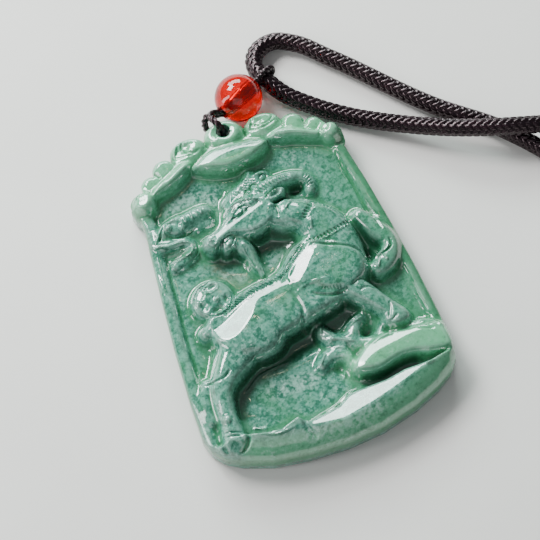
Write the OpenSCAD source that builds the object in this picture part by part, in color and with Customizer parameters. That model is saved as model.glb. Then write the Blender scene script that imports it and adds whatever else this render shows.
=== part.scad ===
// Carved jade pendant on a braided neck cord.
// The plaque lies on its back on z = 0 with its face up (+Z) and its top towards +Y.
// The origin is the middle of the plaque's back.

/* [Plaque] */
// Greatest width of the plaque, near its foot
plaque_w = 41.9; // [38:0.1:46]
// Height of the plaque from its foot to the top of the ring
plaque_h = 58.2; // [53:0.1:63]
// Thickness at the highest relief
plaque_t = 8.6; // [7:0.1:10]
// Thickness of the plain ground behind the relief
field_t = 3.9; // [3.2:0.1:4.4]
// Height at which the rounded face meets the wall of the foot
foot_t = 2.6; // [2:0.1:3]
// Height at which it meets the walls of the sides and the top
edge_t = 3.7; // [3:0.1:3.8]
// Chamfer between the back and the side wall
back_chamfer = 0.5; // [0.3:0.1:0.8]
// Width of the raised rim along each side
rim_w = 2.6; // [2:0.1:3.2]
// Height of the side rims
rim_t = 5.2; // [4.6:0.1:5.8]

/* [Ring] */
// Diameter of the thread hole through the ring
hole_d = 2.4; // [2:0.1:2.8]
// Diameter of the hollow behind the ring that the thread lies in
hollow_d = 8.4; // [7.6:0.1:9]
// Depth of that hollow
hollow_depth = 1.7; // [1.6:0.1:2]

/* [Bead] */
// Diameter of the bead
bead_d = 8; // [7.6:0.1:8.6]
// Bore of the bead
bead_bore = 2; // [1.9:0.05:2.3]
// Turn of the bore from the plaque's width
bead_turn = 27; // [20:1:32]

/* [Thread] */
// Diameter of the thread where it is free
thread_d = 1.2; // [0.9:0.05:1.3]
// Diameter of each strand where the bore squeezes it
thread_bore_d = 0.82; // [0.6:0.02:0.86]

/* [Cord] */
// Diameter of the braided neck cord
cord_d = 3; // [2.4:0.1:3.2]

/* [Clasp] */
// Length of the barrel clasp
clasp_l = 12; // [10:0.5:14]
// Diameter of the barrel clasp
clasp_d = 5; // [4.6:0.1:6]
// How deep each end of the cord sits in the clasp
clasp_socket = 4; // [3:0.5:4.5]

/* [Hidden] */

jade = "#6fa084";
agate = "#d81e05";
cord_black = "#1a0e14";
clasp_brass = "#b08d4a";

// Tables of the carving count lengths in these two shares: a 41.9th of the
// plaque's width and a 58.2nd of its height.  Heights are shares of plaque_t.
cu = plaque_w / 41.9;
cv = plaque_h / 58.2;
field_s = field_t / plaque_t;
rim_s = rim_t / plaque_t;
edge_s = edge_t / plaque_t;
foot_s = foot_t / plaque_t;
// Middle of the thread hole
ring_at = [-.7 * cu, 27 * cv];

// Side edges of the plaque: [height up the plaque, x of the edge]
LEFT_EDGE = [
    [-20.2, -20.7], [-14, -20.6], [-5, -20.1], [3, -19.4], [12, -18.5], [15, -18.1],
    [17, -18.2], [18, -18.8], [19.2, -19.1], [19.8, -18.9]
];
RIGHT_EDGE = [
    [-19.4, 21.2], [-14, 21], [-5, 20.4], [3, 19.6], [12, 18.5], [16, 17.8],
    [18.6, 17.4], [19.4, 17.8], [20.4, 17.9]
];
// Foot of the plaque: [x, y]
FOOT = [
    [-20.7, -20.2], [-20, -22.4], [-18.4, -24.4], [-16.1, -25.8], [-11.6, -27.4],
    [-6, -28.2], [0.2, -28.5], [6.2, -28], [12.2, -26.5], [16.8, -24.4], [19.8, -22], [21.2, -19.4]
];
// Lobes of the cloud border along the top: [x, y, half width, half height, relief]
LOBES = [
    [-16.9, 19.2, 2.2, 2.6, .70], [-14.5, 22.3, 1.9, 1.8, .64], [-11.8, 24.3, 2, 1.9, .64],
    [-7, 26.1, 3.2, 2.3, .70], [-.6, 26.7, 3.5, 3, .71], [5.9, 26.4, 3.2, 2.4, .70],
    [10.5, 25.2, 2.1, 2, .66], [13.7, 23.9, 1.6, 1.5, .64], [15.8, 21, 2.2, 2.4, .70]
];

// Raised strokes of the carving, each a chain of stations: [x, y, radius, height]
CLOUD_ROLLS = [
    [[-17, 19, 1.9, .76], [-14, 20.2, 1.6, .80], [-11, 21.3, 1.8, .83], [-8.3, 22.9, 1.6, .82], [-6, 24.2, 1.1, .74]],
    [[6, 23.6, 1.1, .74], [8.5, 22.9, 1.7, .82], [11.5, 22, 1.7, .82], [14, 21, 1.6, .80], [16, 20, 1.8, .76]]
];
RUYI_CLOUD = [
    [[-14.8, 14.1, 2.5, .76], [-11.2, 14.7, 1.8, .72], [-8.2, 14.6, 1.5, .68]],
    [[-17.4, 13.4, 1.1, .66], [-16.8, 11.7, 1.1, .66], [-13.2, 11.1, .9, .64], [-11.5, 9.9, 1.1, .66],
     [-12.6, 8.5, .9, .64], [-15.6, 7.6, .9, .62]]
];
GOAT = [
    // barrel of the body, shoulder
    [[-9.5, -6.4, 4.7, .96], [-4, -5.2, 4.3, .94], [1, -4, 4.6, .92], [6.4, -2.2, 5.2, .99], [9.2, -3, 4, .95]],
    // neck
    [[9.3, 1.4, 4.3, .92], [8.6, 4.8, 4.4, .93], [6.4, 7.8, 3.7, .93], [3.4, 9.6, 3.1, .92]],
    // head and muzzle
    [[1.2, 10.4, 2.7, .93], [-3, 10.4, 3, .93], [-6.4, 9.3, 2.3, .88], [-9.4, 8.3, 1.5, .84]],
    // near hind leg
    [[-9.4, -6.8, 4.7, .95], [-13, -10.8, 2.8, .87], [-15.7, -13.8, 1.9, .83], [-16.1, -17.4, 1.6, .78],
     [-16.2, -20.4, 1.6, .78], [-16.4, -22.8, 1.9, .80]]
];
GOAT_LIMBS = [
    // standing fore leg
    [[9.6, -6, 2.2, .90], [11.4, -8.4, 1.9, .85], [13.2, -10.8, 1.8, .83], [14.6, -12.9, 2.1, .82]],
    // raised fore leg
    [[14.8, 5.4, 1.5, .74], [16.5, 2.8, 1.6, .76], [17.8, 0.4, 1.4, .76], [16.8, -2.6, 2.1, .78],
     [14.6, -3.8, 1.5, .74]],
    // far hind leg
    [[-18, -14.4, .9, .66], [-18.7, -16.8, 1, .66]],
    // tail
    [[-12.2, -4.6, 1.3, .84], [-14.6, -5.2, 1.5, .78]],
    // beard
    [[-4.3, 6.8, 1, .84], [-3.7, 4.4, 1.1, .76], [-3.2, 1.8, 1, .64]],
    // horn
    [[0.4, 14, 1.3, .90], [3.2, 15.3, 1.3, .86], [6, 15.9, 1.2, .82], [8.4, 15.5, 1.2, .76],
     [9.6, 14.2, 1, .70], [9.2, 12.8, .8, .64]],
    // ear
    [[1.9, 11.7, .9, 1], [4.6, 12.7, .7, .94]],
    // forelock
    [[-2.6, 14.6, 1.2, .74], [0.6, 16.4, 1.4, .72], [2.4, 17.4, 1.1, .66]],
    // hair along the back
    [[5.2, 3.2, 1.2, .86], [1.4, .6, 1.1, .84], [-3, -.7, 1.1, .84], [-8, -1.9, 1.1, .86], [-11.6, -4.2, 1.1, .86]]
];
PLANTS = [
    [[2.4, -10.2, .8, .62], [2.8, -12.6, 1.1, .68], [5.2, -13.6, 1.3, .68], [7, -13, 1.2, .68],
     [7.4, -11.2, 1, .66], [9.8, -9.8, .9, .64]],
    [[7.6, -14.2, .9, .66], [10, -14.6, .9, .66], [11.6, -13, .8, .64]],
    [[.6, -16.2, .9, .62], [2.4, -14.9, 1.1, .68], [4.6, -15.2, 1, .66], [4.6, -17.2, .9, .64]]
];
ROCK = [[[5.6, -18.2, 1.6, .80], [9, -17.7, 2.8, .87], [13, -17.4, 3, .87], [17.2, -17.4, 2.9, .82]]];

// Flat-topped bosses: [x, y, half width, half height, relief]
PLATE = [-1.2, 21.7, 6.3, 2.8, .82];
COIN = [-12, 0, 3.7, 3.7, .82];
// Petals sunk in the coin: [x from its middle, y from its middle, half width, half height]
COIN_PETALS = [[0, 2.1, 1.4, .8], [0, -2.1, 1.4, .8], [2.1, 0, .8, 1.4], [-2.1, 0, .8, 1.4]];
petal_sink = .06;

// Ground the goat stands on: [x, y of its back edge, y of its crest]
GROUND = [
    [-20.8, -22.6, -24.2], [-14.6, -22, -23.6], [-12, -22.9, -24], [-9, -23.2, -24.4], [-6.4, -22.4, -23.8],
    [-5.4, -23.8, -26.6], [-3, -23.4, -25.6], [1, -21.2, -24.8], [3, -20.4, -24.5], [8, -20.9, -23.2],
    [12, -20.6, -22.2], [16, -20.8, -21.6], [20.8, -19.6, -20.6]
];
ground_back = .60;
ground_crest = .88;
// Distance over which the ground rounds off to the foot, and the face to the other edges
foot_round = 7.5;
edge_round = 1.5;

// Half circle on its side: height of a round edge at share q of its width
function dome(k) = k >= 1 ? 0 : sqrt(1 - k);
function rise(q) = q >= 1 ? 1 : q <= 0 ? 0 : sqrt(q * (2 - q));
function col(table, key, value) = [for (r = table) [r[key], r[value]]];

// Height over the sunk level of one tapered stroke; flat strokes keep a broad top
function stroke(p, a, b, flat) =
    let (
        d = [b[0] - a[0], b[1] - a[1]],
        q = [p[0] - a[0], p[1] - a[1]],
        t = max(0, min(1, (q * d) / (d * d))),
        e = q - t * d,
        r = a[2] + t * (b[2] - a[2]),
        k = (e * e) / (r * r)
    )
    k >= 1 ? 0 : (a[3] + t * (b[3] - a[3]) - sunk_s) * dome(flat ? k * k : k);
function chain(p, c, flat) = max([for (i = [0:len(c) - 2]) stroke(p, c[i], c[i + 1], flat)]);
function chains(p, list, flat) = max([for (c = list) chain(p, c, flat)]);
function boss(p, b, power) =
    let (k = pow((p[0] - b[0]) / b[2], 2) + pow((p[1] - b[1]) / b[3], 2))
    k >= 1 ? 0 : (b[4] - sunk_s) * dome(pow(k, power));
sunk_s = field_s - .04;

FOOT_Y = col(FOOT, 0, 1);
GROUND_BACK = col(GROUND, 0, 1);
GROUND_CREST = col(GROUND, 0, 2);
function lobe_top(x, l) =
    let (k = pow((x - l[0]) / l[2], 2)) k >= 1 ? -100 : l[1] + l[3] * sqrt(1 - k);
function top_y(x) = max([for (l = LOBES) lobe_top(x, l)]);

function ground(p) =
    let (back = lookup(p[0], GROUND_BACK), crest = lookup(p[0], GROUND_CREST), q = (back - p[1]) / (back - crest))
    q <= 0 ? 0 : (ground_back - sunk_s) * rise(4 * q) + (ground_crest - ground_back) * min(1, q);
function coin(p) =
    let (
        sink = max([for (c = COIN_PETALS) dome(pow((p[0] - COIN[0] - c[0]) / c[2], 2) + pow((p[1] - COIN[1] - c[1]) / c[3], 2))])
    )
    boss(p, COIN, 4) - petal_sink * sink;

// Height of the face at a point, in shares of plaque_t; p is in carving units
function relief(p, side) = sunk_s + max(
    field_s - sunk_s,
    side < rim_w / cu && p[1] < 19 ? (rim_s - sunk_s) * dome(pow(max(0, 2 * cu * side / rim_w - 1), 4)) : 0,
    max([for (l = LOBES) boss(p, l, 1.5)]),
    chains(p, CLOUD_ROLLS, false),
    boss(p, PLATE, 2),
    p[0] < -5 && p[1] > 5 ? chains(p, RUYI_CLOUD, false) : 0,
    abs(p[1]) < 25 ? chains(p, GOAT, true) : 0,
    chains(p, GOAT_LIMBS, false),
    abs(p[1] + 13) < 6 ? chains(p, PLANTS, false) : 0,
    p[1] < -14 && p[0] > 2 ? chains(p, ROCK, true) : 0,
    p[0] < -8 ? coin(p) : 0,
    p[1] < -18 ? ground(p) : 0
);

// Grid of the face: columns and rows crowd towards the outline
cols = 60;
rows = 80;
function crowd(i, n) = i == 0 ? 0 : i == n ? 1 : i == 1 ? .009 : i == n - 1 ? .991 : .025 + .95 * (i - 2) / (n - 4);
// One grid point: [x, y, distance to the nearer side, distance to the top, distance to the foot]
function grid_point(i, j) =
    let (
        u = crowd(i, cols),
        v = crowd(j, rows),
        foot = lookup(-20.7 + u * 41.9, FOOT_Y),
        head = top_y(-18.9 + u * 36.8),
        y = foot + v * (head - foot),
        left = lookup(y, LEFT_EDGE),
        right = lookup(y, RIGHT_EDGE),
        x = left + u * (right - left)
    )
    [x, y, min(x - left, right - x), head - y, y - foot];
// Mean of a grid value and its neighbours, which softens the steps of the carving
function softened(h, i, j) =
    let (
        a = max(0, i - 1), b = min(cols, i + 1), c = max(0, j - 1), d = min(rows, j + 1)
    )
    (4 * h[j][i] + 2 * (h[j][a] + h[j][b] + h[c][i] + h[d][i]) + h[c][a] + h[c][b] + h[d][a] + h[d][b]) / 16;

module plaque_blank() {
    nc = cols + 1;
    grid = [for (j = [0:rows]) [for (i = [0:cols]) grid_point(i, j)]];
    height = [for (j = [0:rows]) [for (i = [0:cols]) relief(grid[j][i], grid[j][i][2])]];
    face = [
        for (j = [0:rows]) for (i = [0:cols])
            let (
                g = grid[j][i],
                lift = min(rise(min(g[2], g[3]) / edge_round), rise(g[4] / foot_round)),
                e = edge_s + (foot_s - edge_s) * (1 - min(1, g[4] / foot_round)),
                z = e + (softened(height, i, j) - e) * lift
            )
            [g[0] * cu, g[1] * cv, z * plaque_t]
    ];
    rim = concat(
        [for (i = [0:cols]) i],
        [for (j = [1:rows]) j * nc + cols],
        [for (i = [1:cols]) rows * nc + cols - i],
        [for (j = [1:rows - 1]) (rows - j) * nc]
    );
    n = len(rim);
    shrink = 1 - 2 * back_chamfer / plaque_w;
    wall = [for (k = rim) [face[k][0], face[k][1], back_chamfer]];
    back = [for (k = rim) [face[k][0] * shrink, face[k][1] * shrink, 0]];
    w0 = len(face);
    b0 = w0 + n;
    middle = b0 + n;
    polyhedron(
        points = concat(face, wall, back, [[0, -2 * cv, 0]]),
        faces = concat(
            [
                for (j = [0:rows - 1]) for (i = [0:cols - 1])
                    let (a = j * nc + i, b = a + 1, c = a + nc + 1, d = a + nc)
                    // each cell is split along its flatter diagonal
                    each abs(face[a][2] - face[c][2]) < abs(face[b][2] - face[d][2])
                        ? [[a, d, c], [a, c, b]] : [[a, d, b], [b, d, c]]
            ],
            [for (k = [0:n - 1]) let (m = (k + 1) % n) each [[rim[k], rim[m], w0 + m], [rim[k], w0 + m, w0 + k]]],
            [for (k = [0:n - 1]) let (m = (k + 1) % n) each [[w0 + k, w0 + m, b0 + m], [w0 + k, b0 + m, b0 + k]]],
            [for (k = [0:n - 1]) [middle, b0 + k, b0 + (k + 1) % n]]
        ),
        convexity = 8
    );
}

module jade_plaque() {
    color(jade)
    difference() {
        plaque_blank();
        translate([ring_at[0], ring_at[1], -1]) cylinder(h = plaque_t + 2, d = hole_d, $fn = 48);
        translate([ring_at[0], ring_at[1], -1]) cylinder(h = hollow_depth + 1, d = hollow_d, $fn = 64);
    }
}

// The bead rests on the floor in the notch between the ring and the lobe beside it
bead_gap = 1.15;
bead_lean = 13;
bead_at = [
    2.8 * cu + sin(bead_lean) * (bead_d / 2 + bead_gap),
    27.7 * cv + cos(bead_lean) * (bead_d / 2 + bead_gap),
    bead_d / 2
];
bead_axis = [cos(bead_turn), sin(bead_turn), 0];

module agate_bead() {
    mouth_deep = .45;
    color(agate)
    translate(bead_at) rotate([0, 0, bead_turn]) rotate([0, 90, 0])
    difference() {
        sphere(d = bead_d, $fn = 96);
        cylinder(h = bead_d + 2, d = bead_bore, center = true, $fn = 48);
        for (end = [0, 180])
            rotate([end, 0, 0]) translate([0, 0, bead_d / 2 - mouth_deep])
                cylinder(h = 1, r1 = bead_bore / 2 - .05, r2 = bead_bore / 2 + .75, $fn = 48);
    }
}

// Smooth curve through a list of points, by pieces of a cubic whose slopes are
// the means of the neighbouring chords, each weighed by the other's length
function unit(v) = v / norm(v);
function wrap(k, n, closed) = closed ? (k + n) % n : max(0, min(n - 1, k));
function slope(p, k, closed) =
    let (
        n = len(p),
        a = p[wrap(k - 1, n, closed)], b = p[k], c = p[wrap(k + 1, n, closed)],
        da = norm(b - a), dc = norm(c - b)
    )
    da < .001 ? (c - b) / dc : dc < .001 ? (b - a) / da : unit((b - a) / da * dc + (c - b) / dc * da);
function curve(p, steps, closed) =
    let (n = len(p))
    concat(
        [
            for (k = [0:(closed ? n : n - 1) - 1]) for (m = [0:steps - 1])
                let (
                    j = wrap(k + 1, n, closed), t = m / steps, d = norm(p[j] - p[k]),
                    t2 = t * t, t3 = t2 * t
                )
                (2 * t3 - 3 * t2 + 1) * p[k] + (t3 - 2 * t2 + t) * d * slope(p, k, closed)
                + (3 * t2 - 2 * t3) * p[j] + (t3 - t2) * d * slope(p, j, closed)
        ],
        closed ? [] : [p[n - 1]]
    );

// Tube of round rings along points [x, y, z, radius]; the frame is carried along without twist
module tube(path, sides, closed) {
    n = len(path);
    at = [for (p = path) [p[0], p[1], p[2]]];
    along = [for (k = [0:n - 1]) unit(at[wrap(k + 1, n, closed)] - at[wrap(k - 1, n, closed)])];
    start = unit(cross(along[0], abs(along[0][2]) > .8 ? [1, 0, 0] : [0, 0, 1]));
    side = [
        for (k = 0, u = start; k < n; k = k + 1, u = k < n ? unit(u - (u * along[k]) * along[k]) : u) u
    ];
    spin = 180 / sides;
    points = [
        for (k = [0:n - 1]) let (v = cross(along[k], side[k])) for (m = [0:sides - 1])
            let (a = spin + 360 * m / sides) at[k] + path[k][3] * (cos(a) * side[k] + sin(a) * v)
    ];
    // the last ring of a closed tube meets the first one at the nearest corner
    shift = closed
        ? let (f = points[0] - at[0], l = [for (m = [0:sides - 1]) (points[(n - 1) * sides + m] - at[n - 1]) * f], best = max(l))
          [for (m = [0:sides - 1]) if (l[m] == best) m][0]
        : 0;
    polyhedron(
        points = points,
        faces = concat(
            [
                for (k = [0:n - 2]) for (m = [0:sides - 1])
                    let (a = k * sides + m, b = k * sides + (m + 1) % sides, c = b + sides, d = a + sides)
                    each [[a, b, c], [a, c, d]]
            ],
            closed
                ? [
                    for (m = [0:sides - 1])
                        let (
                            a = (n - 1) * sides + (m + shift) % sides, b = (n - 1) * sides + (m + 1 + shift) % sides,
                            c = (m + 1) % sides, d = m
                        )
                        each [[a, b, c], [a, c, d]]
                ]
                : [[for (m = [0:sides - 1]) sides - 1 - m], [for (m = [0:sides - 1]) (n - 1) * sides + m]]
        ),
        convexity = 10
    );
}

// Where the neck cord crosses the end of the thread's loop: along the bead's axis, and up
loop_r = .5 * thread_d / 1.2;
bore_r = thread_bore_d / 2;
bore_off = bore_r + .04;
pinch_out = bead_d / 2 + .62 + cord_d / 2;
pinch_z = cord_d / 2 + 2 * loop_r + .12;
round_cord = cord_d / 2 + loop_r + .08;

// The thread in the bead's own frame: [along the bore, up from the floor, radius]
THREAD_AT_BEAD = [
    [-bead_d / 2 + .1, bead_d / 2 - bore_off - .03, bore_r],
    [-bead_d / 2 + 1.2, bead_d / 2 - bore_off, bore_r],
    [bead_d / 2 - 1.8, bead_d / 2 - bore_off, bore_r],
    [bead_d / 2 - .7, bead_d / 2 - bore_off, bore_r * .95],
    [bead_d / 2 - .1, bead_d / 2 - bore_off - .2, bore_r * .85],
    [bead_d / 2 + .3, bead_d / 2 - bore_off - .85, bore_r * .8],
    [pinch_out - round_cord * .83, pinch_z - round_cord * .55, loop_r * .8],
    [pinch_out, pinch_z - round_cord, loop_r],
    [pinch_out + round_cord * .71, pinch_z - round_cord * .71, loop_r],
    [pinch_out + round_cord, pinch_z, loop_r],
    [pinch_out + round_cord * .71, pinch_z + round_cord * .71, loop_r],
    [pinch_out, pinch_z + round_cord + .02, loop_r],
    [bead_d / 2 + .9, bead_d / 2 + bore_off + .15, loop_r * .9],
    [bead_d / 2 + .1, bead_d / 2 + bore_off + .02, bore_r],
    [bead_d / 2 - .7, bead_d / 2 + bore_off, bore_r],
    [bead_d / 2 - 1.8, bead_d / 2 + bore_off, bore_r],
    [-bead_d / 2 + 1.2, bead_d / 2 + bore_off, bore_r],
    [-bead_d / 2 + .1, bead_d / 2 + bore_off + .03, bore_r]
];
// The thread round the ring, from the middle of its hole: [x, y, height, radius as a share of the free one]
THREAD_AT_RING = [
    [.2, 4.1, 4.9, .8], [-.8, 3.6, 5.6, 1], [-1.1, 2.6, 6.4, 1], [-.7, 1.4, 6.75, 1], [-.1, .35, 5.8, .95],
    [0, 0, 4, .9], [-.1, .1, 2, .9], [-.7, .8, .95, .95], [-1.25, 2.1, .85, 1], [-1.8, 3.4, 1.15, 1],
    [-1.9, 4.05, 2.4, 1], [-1.2, 4.6, 3.3, 1], [-.1, 4.3, 3.5, .8]
];

module bail_thread() {
    route = concat(
        [for (p = THREAD_AT_RING) [ring_at[0] + p[0], ring_at[1] + p[1], p[2], p[3] * thread_d / 2]],
        [
            for (p = THREAD_AT_BEAD)
                [bead_at[0] + p[0] * bead_axis[0], bead_at[1] + p[0] * bead_axis[1], p[1], p[2]]
        ]
    );
    color(cord_black) tube(curve(route, 3, true), 8, true);
}

// Route of the neck cord, chosen by hand: [x, y, lift off the floor].  It runs from one
// end of the clasp, over itself, round the thread's loop, under itself and back to the clasp.
clasp_at = [78, 2.5];
CORD_ROUTE = [
    [80.6, 14.5, .4], [86.7, 17, 0], [115.4, 16.4, 0], [126.2, 22.2, 0], [126.2, 34.7, 0], [115.4, 40.9, 0],
    [98, 39.3, 0], [84, 27.5, 0], [72, 15.2, 0], [59.5, 9.8, .3], [49.5, 11, 2.7], [44.7, 12.1, 3.2],
    [38.5, 14.2, 2.8], [30, 18.7, 1], [15.3, 28.5, .1], [11.7, 31.8, .6]
];
CORD_BACK = [
    [8.7, 38, .9], [10.1, 41, .3], [13.3, 42.1, 0], [16.5, 40.7, 0], [21.2, 36.1, 0], [34.5, 21.5, 0],
    [44, 13.1, 0], [51.5, 2.5, 0], [54.8, -11, 0], [63.5, -23, 0], [77, -26.6, 0], [112, -27, 0],
    [118, -27, 0], [123.6, -24.8, 0], [125.9, -19.2, 0], [123.6, -13.7, 0], [118, -11.4, 0], [86.7, -12, 0],
    [80.6, -9.5, .4]
];

module neck_cord() {
    r = cord_d / 2;
    end_y = clasp_l / 2 - clasp_socket + .1;
    mouth_y = clasp_l / 2 - .2;
    pinch = [bead_at[0] + pinch_out * bead_axis[0], bead_at[1] + pinch_out * bead_axis[1], pinch_z, r];
    route = concat(
        [for (y = [end_y, mouth_y]) [clasp_at[0], clasp_at[1] + y, clasp_d / 2, r]],
        [for (p = CORD_ROUTE) [p[0], p[1], r + p[2], r]],
        [pinch],
        [for (p = CORD_BACK) [p[0], p[1], r + p[2], r]],
        [for (y = [mouth_y, end_y]) [clasp_at[0], clasp_at[1] - y, clasp_d / 2, r]]
    );
    // the smooth curve never dips under the floor
    color(cord_black) tube([for (p = curve(route, 2, false)) [p[0], p[1], max(p[2], r), r]], 8, false);
}

module cord_clasp() {
    bore = cord_d + .3;
    color(clasp_brass)
    translate([clasp_at[0], clasp_at[1], clasp_d / 2]) rotate([90, 0, 0])
    difference() {
        rotate_extrude($fn = 64) polygon([
            [0, -clasp_l / 2], [clasp_d / 2 - .5, -clasp_l / 2], [clasp_d / 2, -clasp_l / 2 + .7],
            [clasp_d / 2, clasp_l / 2 - .7], [clasp_d / 2 - .5, clasp_l / 2], [0, clasp_l / 2]
        ]);
        for (end = [-1, 1])
            translate([0, 0, end * (clasp_l - clasp_socket) / 2 + end * .5])
                cylinder(h = clasp_socket + 1, d = bore, center = true, $fn = 48);
    }
}

jade_plaque();
agate_bead();
bail_thread();
neck_cord();
cord_clasp();
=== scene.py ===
"""Chinese jade pendant on a braided neck cord, lying on its back on a pale floor.

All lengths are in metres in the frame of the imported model: the plaque's back
lies on z = 0 with its face up, and its top points towards +Y.  Tables of the
carving are in millimetres, which the meshes turn into metres once.
"""
import logging
import math
from dataclasses import dataclass
from enum import Enum
from typing import Any, Dict, List, Optional, Sequence, Tuple

import bpy
import numpy as np
from mathutils import Matrix, Vector

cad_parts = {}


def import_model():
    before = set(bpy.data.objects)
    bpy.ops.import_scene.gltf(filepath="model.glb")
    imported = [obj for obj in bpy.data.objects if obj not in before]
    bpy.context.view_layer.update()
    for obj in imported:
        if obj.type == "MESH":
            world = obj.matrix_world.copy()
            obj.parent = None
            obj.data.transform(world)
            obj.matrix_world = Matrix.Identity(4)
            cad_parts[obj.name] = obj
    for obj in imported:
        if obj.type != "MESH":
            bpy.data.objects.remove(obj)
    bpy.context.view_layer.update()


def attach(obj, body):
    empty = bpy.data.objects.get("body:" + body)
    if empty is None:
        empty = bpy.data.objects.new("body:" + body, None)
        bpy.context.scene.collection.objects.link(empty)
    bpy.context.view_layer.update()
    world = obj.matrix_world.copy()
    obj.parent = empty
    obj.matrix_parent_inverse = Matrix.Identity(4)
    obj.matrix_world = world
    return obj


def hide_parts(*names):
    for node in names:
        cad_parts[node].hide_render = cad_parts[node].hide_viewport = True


LOG = logging.getLogger("pendant")
MM = 0.001
TINY = 1e-6
Row = Tuple[float, ...]
Rows = Sequence[Row]
Colour = Tuple[float, float, float, float]
Thing = bpy.types.Object
Socket = bpy.types.NodeSocket


# Small tools
def linear(code: str) -> Colour:
    """Turn an sRGB hex colour into linear light.

    Args:
        code: Six hex digits after a hash.

    Returns:
        Red, green, blue and an alpha of one.
    """
    part = [int(code[k:k + 2], 16) / 255 for k in (1, 3, 5)]
    light = [c / 12.92 if c <= 0.04045 else ((c + 0.055) / 1.055) ** 2.4 for c in part]
    return (light[0], light[1], light[2], 1.0)


def unit(vectors: np.ndarray) -> np.ndarray:
    """Scale each row to a length of one."""
    return vectors / np.maximum(np.linalg.norm(vectors, axis=-1, keepdims=True), 1e-12)


def smooth_path(rows: Rows, steps: int, closed: bool = False) -> np.ndarray:
    """Carry a smooth curve through given points.

    Each stretch is a cubic between two points.  The slope at a point is the
    mean of its two chords, each weighed by the other's length, as a unit
    vector times the length of the stretch.

    Args:
        rows: Points with any number of columns.
        steps: Pieces between one point and the next.
        closed: Whether the last point leads back to the first.

    Returns:
        The points of the curve, one row each.
    """
    p = np.asarray(rows, float)
    n = len(p)
    index = np.arange(n)
    before = (index - 1) % n if closed else np.maximum(index - 1, 0)
    after = (index + 1) % n if closed else np.minimum(index + 1, n - 1)
    back, ahead = p - p[before], p[after] - p
    len_back = np.linalg.norm(back, axis=1, keepdims=True)
    len_ahead = np.linalg.norm(ahead, axis=1, keepdims=True)
    slope = unit(unit(back) * len_ahead + unit(ahead) * len_back)
    if not closed:
        slope[0], slope[-1] = unit(ahead[:1])[0], unit(back[-1:])[0]
    a = index if closed else index[:-1]
    b = after[a]
    t = (np.arange(steps) / steps)[None, :, None]
    size = np.linalg.norm(p[b] - p[a], axis=1)[:, None, None]
    curve = (
        (2 * t**3 - 3 * t**2 + 1) * p[a][:, None] + (t**3 - 2 * t**2 + t) * size * slope[a][:, None]
        + (3 * t**2 - 2 * t**3) * p[b][:, None] + (t**3 - t**2) * size * slope[b][:, None]
    ).reshape(-1, p.shape[1])
    return curve if closed else np.vstack([curve, p[-1:]])


def lengths_along(path: np.ndarray) -> np.ndarray:
    """Give each point's distance from the start, along the path."""
    return np.concatenate([[0.0], np.cumsum(np.linalg.norm(np.diff(path[:, :3], axis=0), axis=1))])


def resampled(path: np.ndarray, at: np.ndarray) -> np.ndarray:
    """Read a path at given distances from its start.

    Args:
        path: Points, one row each.
        at: Distances from the start.

    Returns:
        One row of the path's columns for each distance.
    """
    s = lengths_along(path)
    return np.stack([np.interp(at, s, path[:, k]) for k in range(path.shape[1])], axis=1)


def grid_quads(rows: int, cols: int, wrap_rows: bool = False, wrap_cols: bool = False) -> np.ndarray:
    """Number the quads of a grid of points stored row by row.

    Args:
        rows: Rows of points.
        cols: Points in a row.
        wrap_rows: Whether the last row joins the first.
        wrap_cols: Whether the last point of a row joins its first.

    Returns:
        Four point numbers for each quad.
    """
    r = np.arange(rows if wrap_rows else rows - 1)[:, None]
    c = np.arange(cols if wrap_cols else cols - 1)[None, :]
    r1, c1 = (r + 1) % rows, (c + 1) % cols
    corners = np.broadcast_arrays(r * cols + c, r * cols + c1, r1 * cols + c1, r1 * cols + c)
    return np.stack(corners, axis=-1).reshape(-1, 4)


def signed_volume(points: np.ndarray, faces: np.ndarray) -> float:
    """Sum a sixth of a . (b x c) over the triangles that fan out in each face.

    Args:
        points: Places of the points.
        faces: Point numbers of each face.

    Returns:
        The volume, above zero when the faces look outwards.
    """
    first = points[faces[:, 0]]
    total = 0.0
    for k in range(1, faces.shape[1] - 1):
        crossed = np.cross(points[faces[:, k]], points[faces[:, k + 1]])
        total += float(np.einsum("ij,ij->", first, crossed)) / 6
    return total


def build_mesh(name: str, points: np.ndarray, faces: Sequence[np.ndarray], smooth: bool = True) -> Thing:
    """Make an object from points and blocks of faces.

    Args:
        name: Name of the object.
        points: Places of the points, in metres.
        faces: Blocks of faces; each block has one number of corners.
        smooth: Whether the faces are shaded smooth.

    Returns:
        The object, linked to the scene.
    """
    mesh = bpy.data.meshes.new(name)
    if sum(signed_volume(points, f) for f in faces) < 0:
        faces = [f[:, ::-1] for f in faces]
    corners = np.concatenate([f.reshape(-1) for f in faces]).astype(np.int32)
    sizes = np.concatenate([np.full(len(f), f.shape[1]) for f in faces]).astype(np.int32)
    mesh.vertices.add(len(points))
    mesh.vertices.foreach_set("co", np.ascontiguousarray(points, np.float32).ravel())
    mesh.loops.add(len(corners))
    mesh.loops.foreach_set("vertex_index", corners)
    mesh.polygons.add(len(sizes))
    mesh.polygons.foreach_set("loop_start", np.concatenate([[0], np.cumsum(sizes)[:-1]]).astype(np.int32))
    mesh.polygons.foreach_set("loop_total", sizes)
    mesh.polygons.foreach_set("use_smooth", np.full(len(sizes), smooth))
    mesh.update(calc_edges=True)
    mesh.validate()
    thing = bpy.data.objects.new(name, mesh)
    bpy.context.scene.collection.objects.link(thing)
    return thing


def store_point_values(thing: Thing, name: str, values: np.ndarray) -> None:
    """Keep one number for each point of a mesh as a named attribute."""
    kept = thing.data.attributes.new(name, "FLOAT", "POINT")
    kept.data.foreach_set("value", np.ascontiguousarray(values, np.float32))


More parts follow.
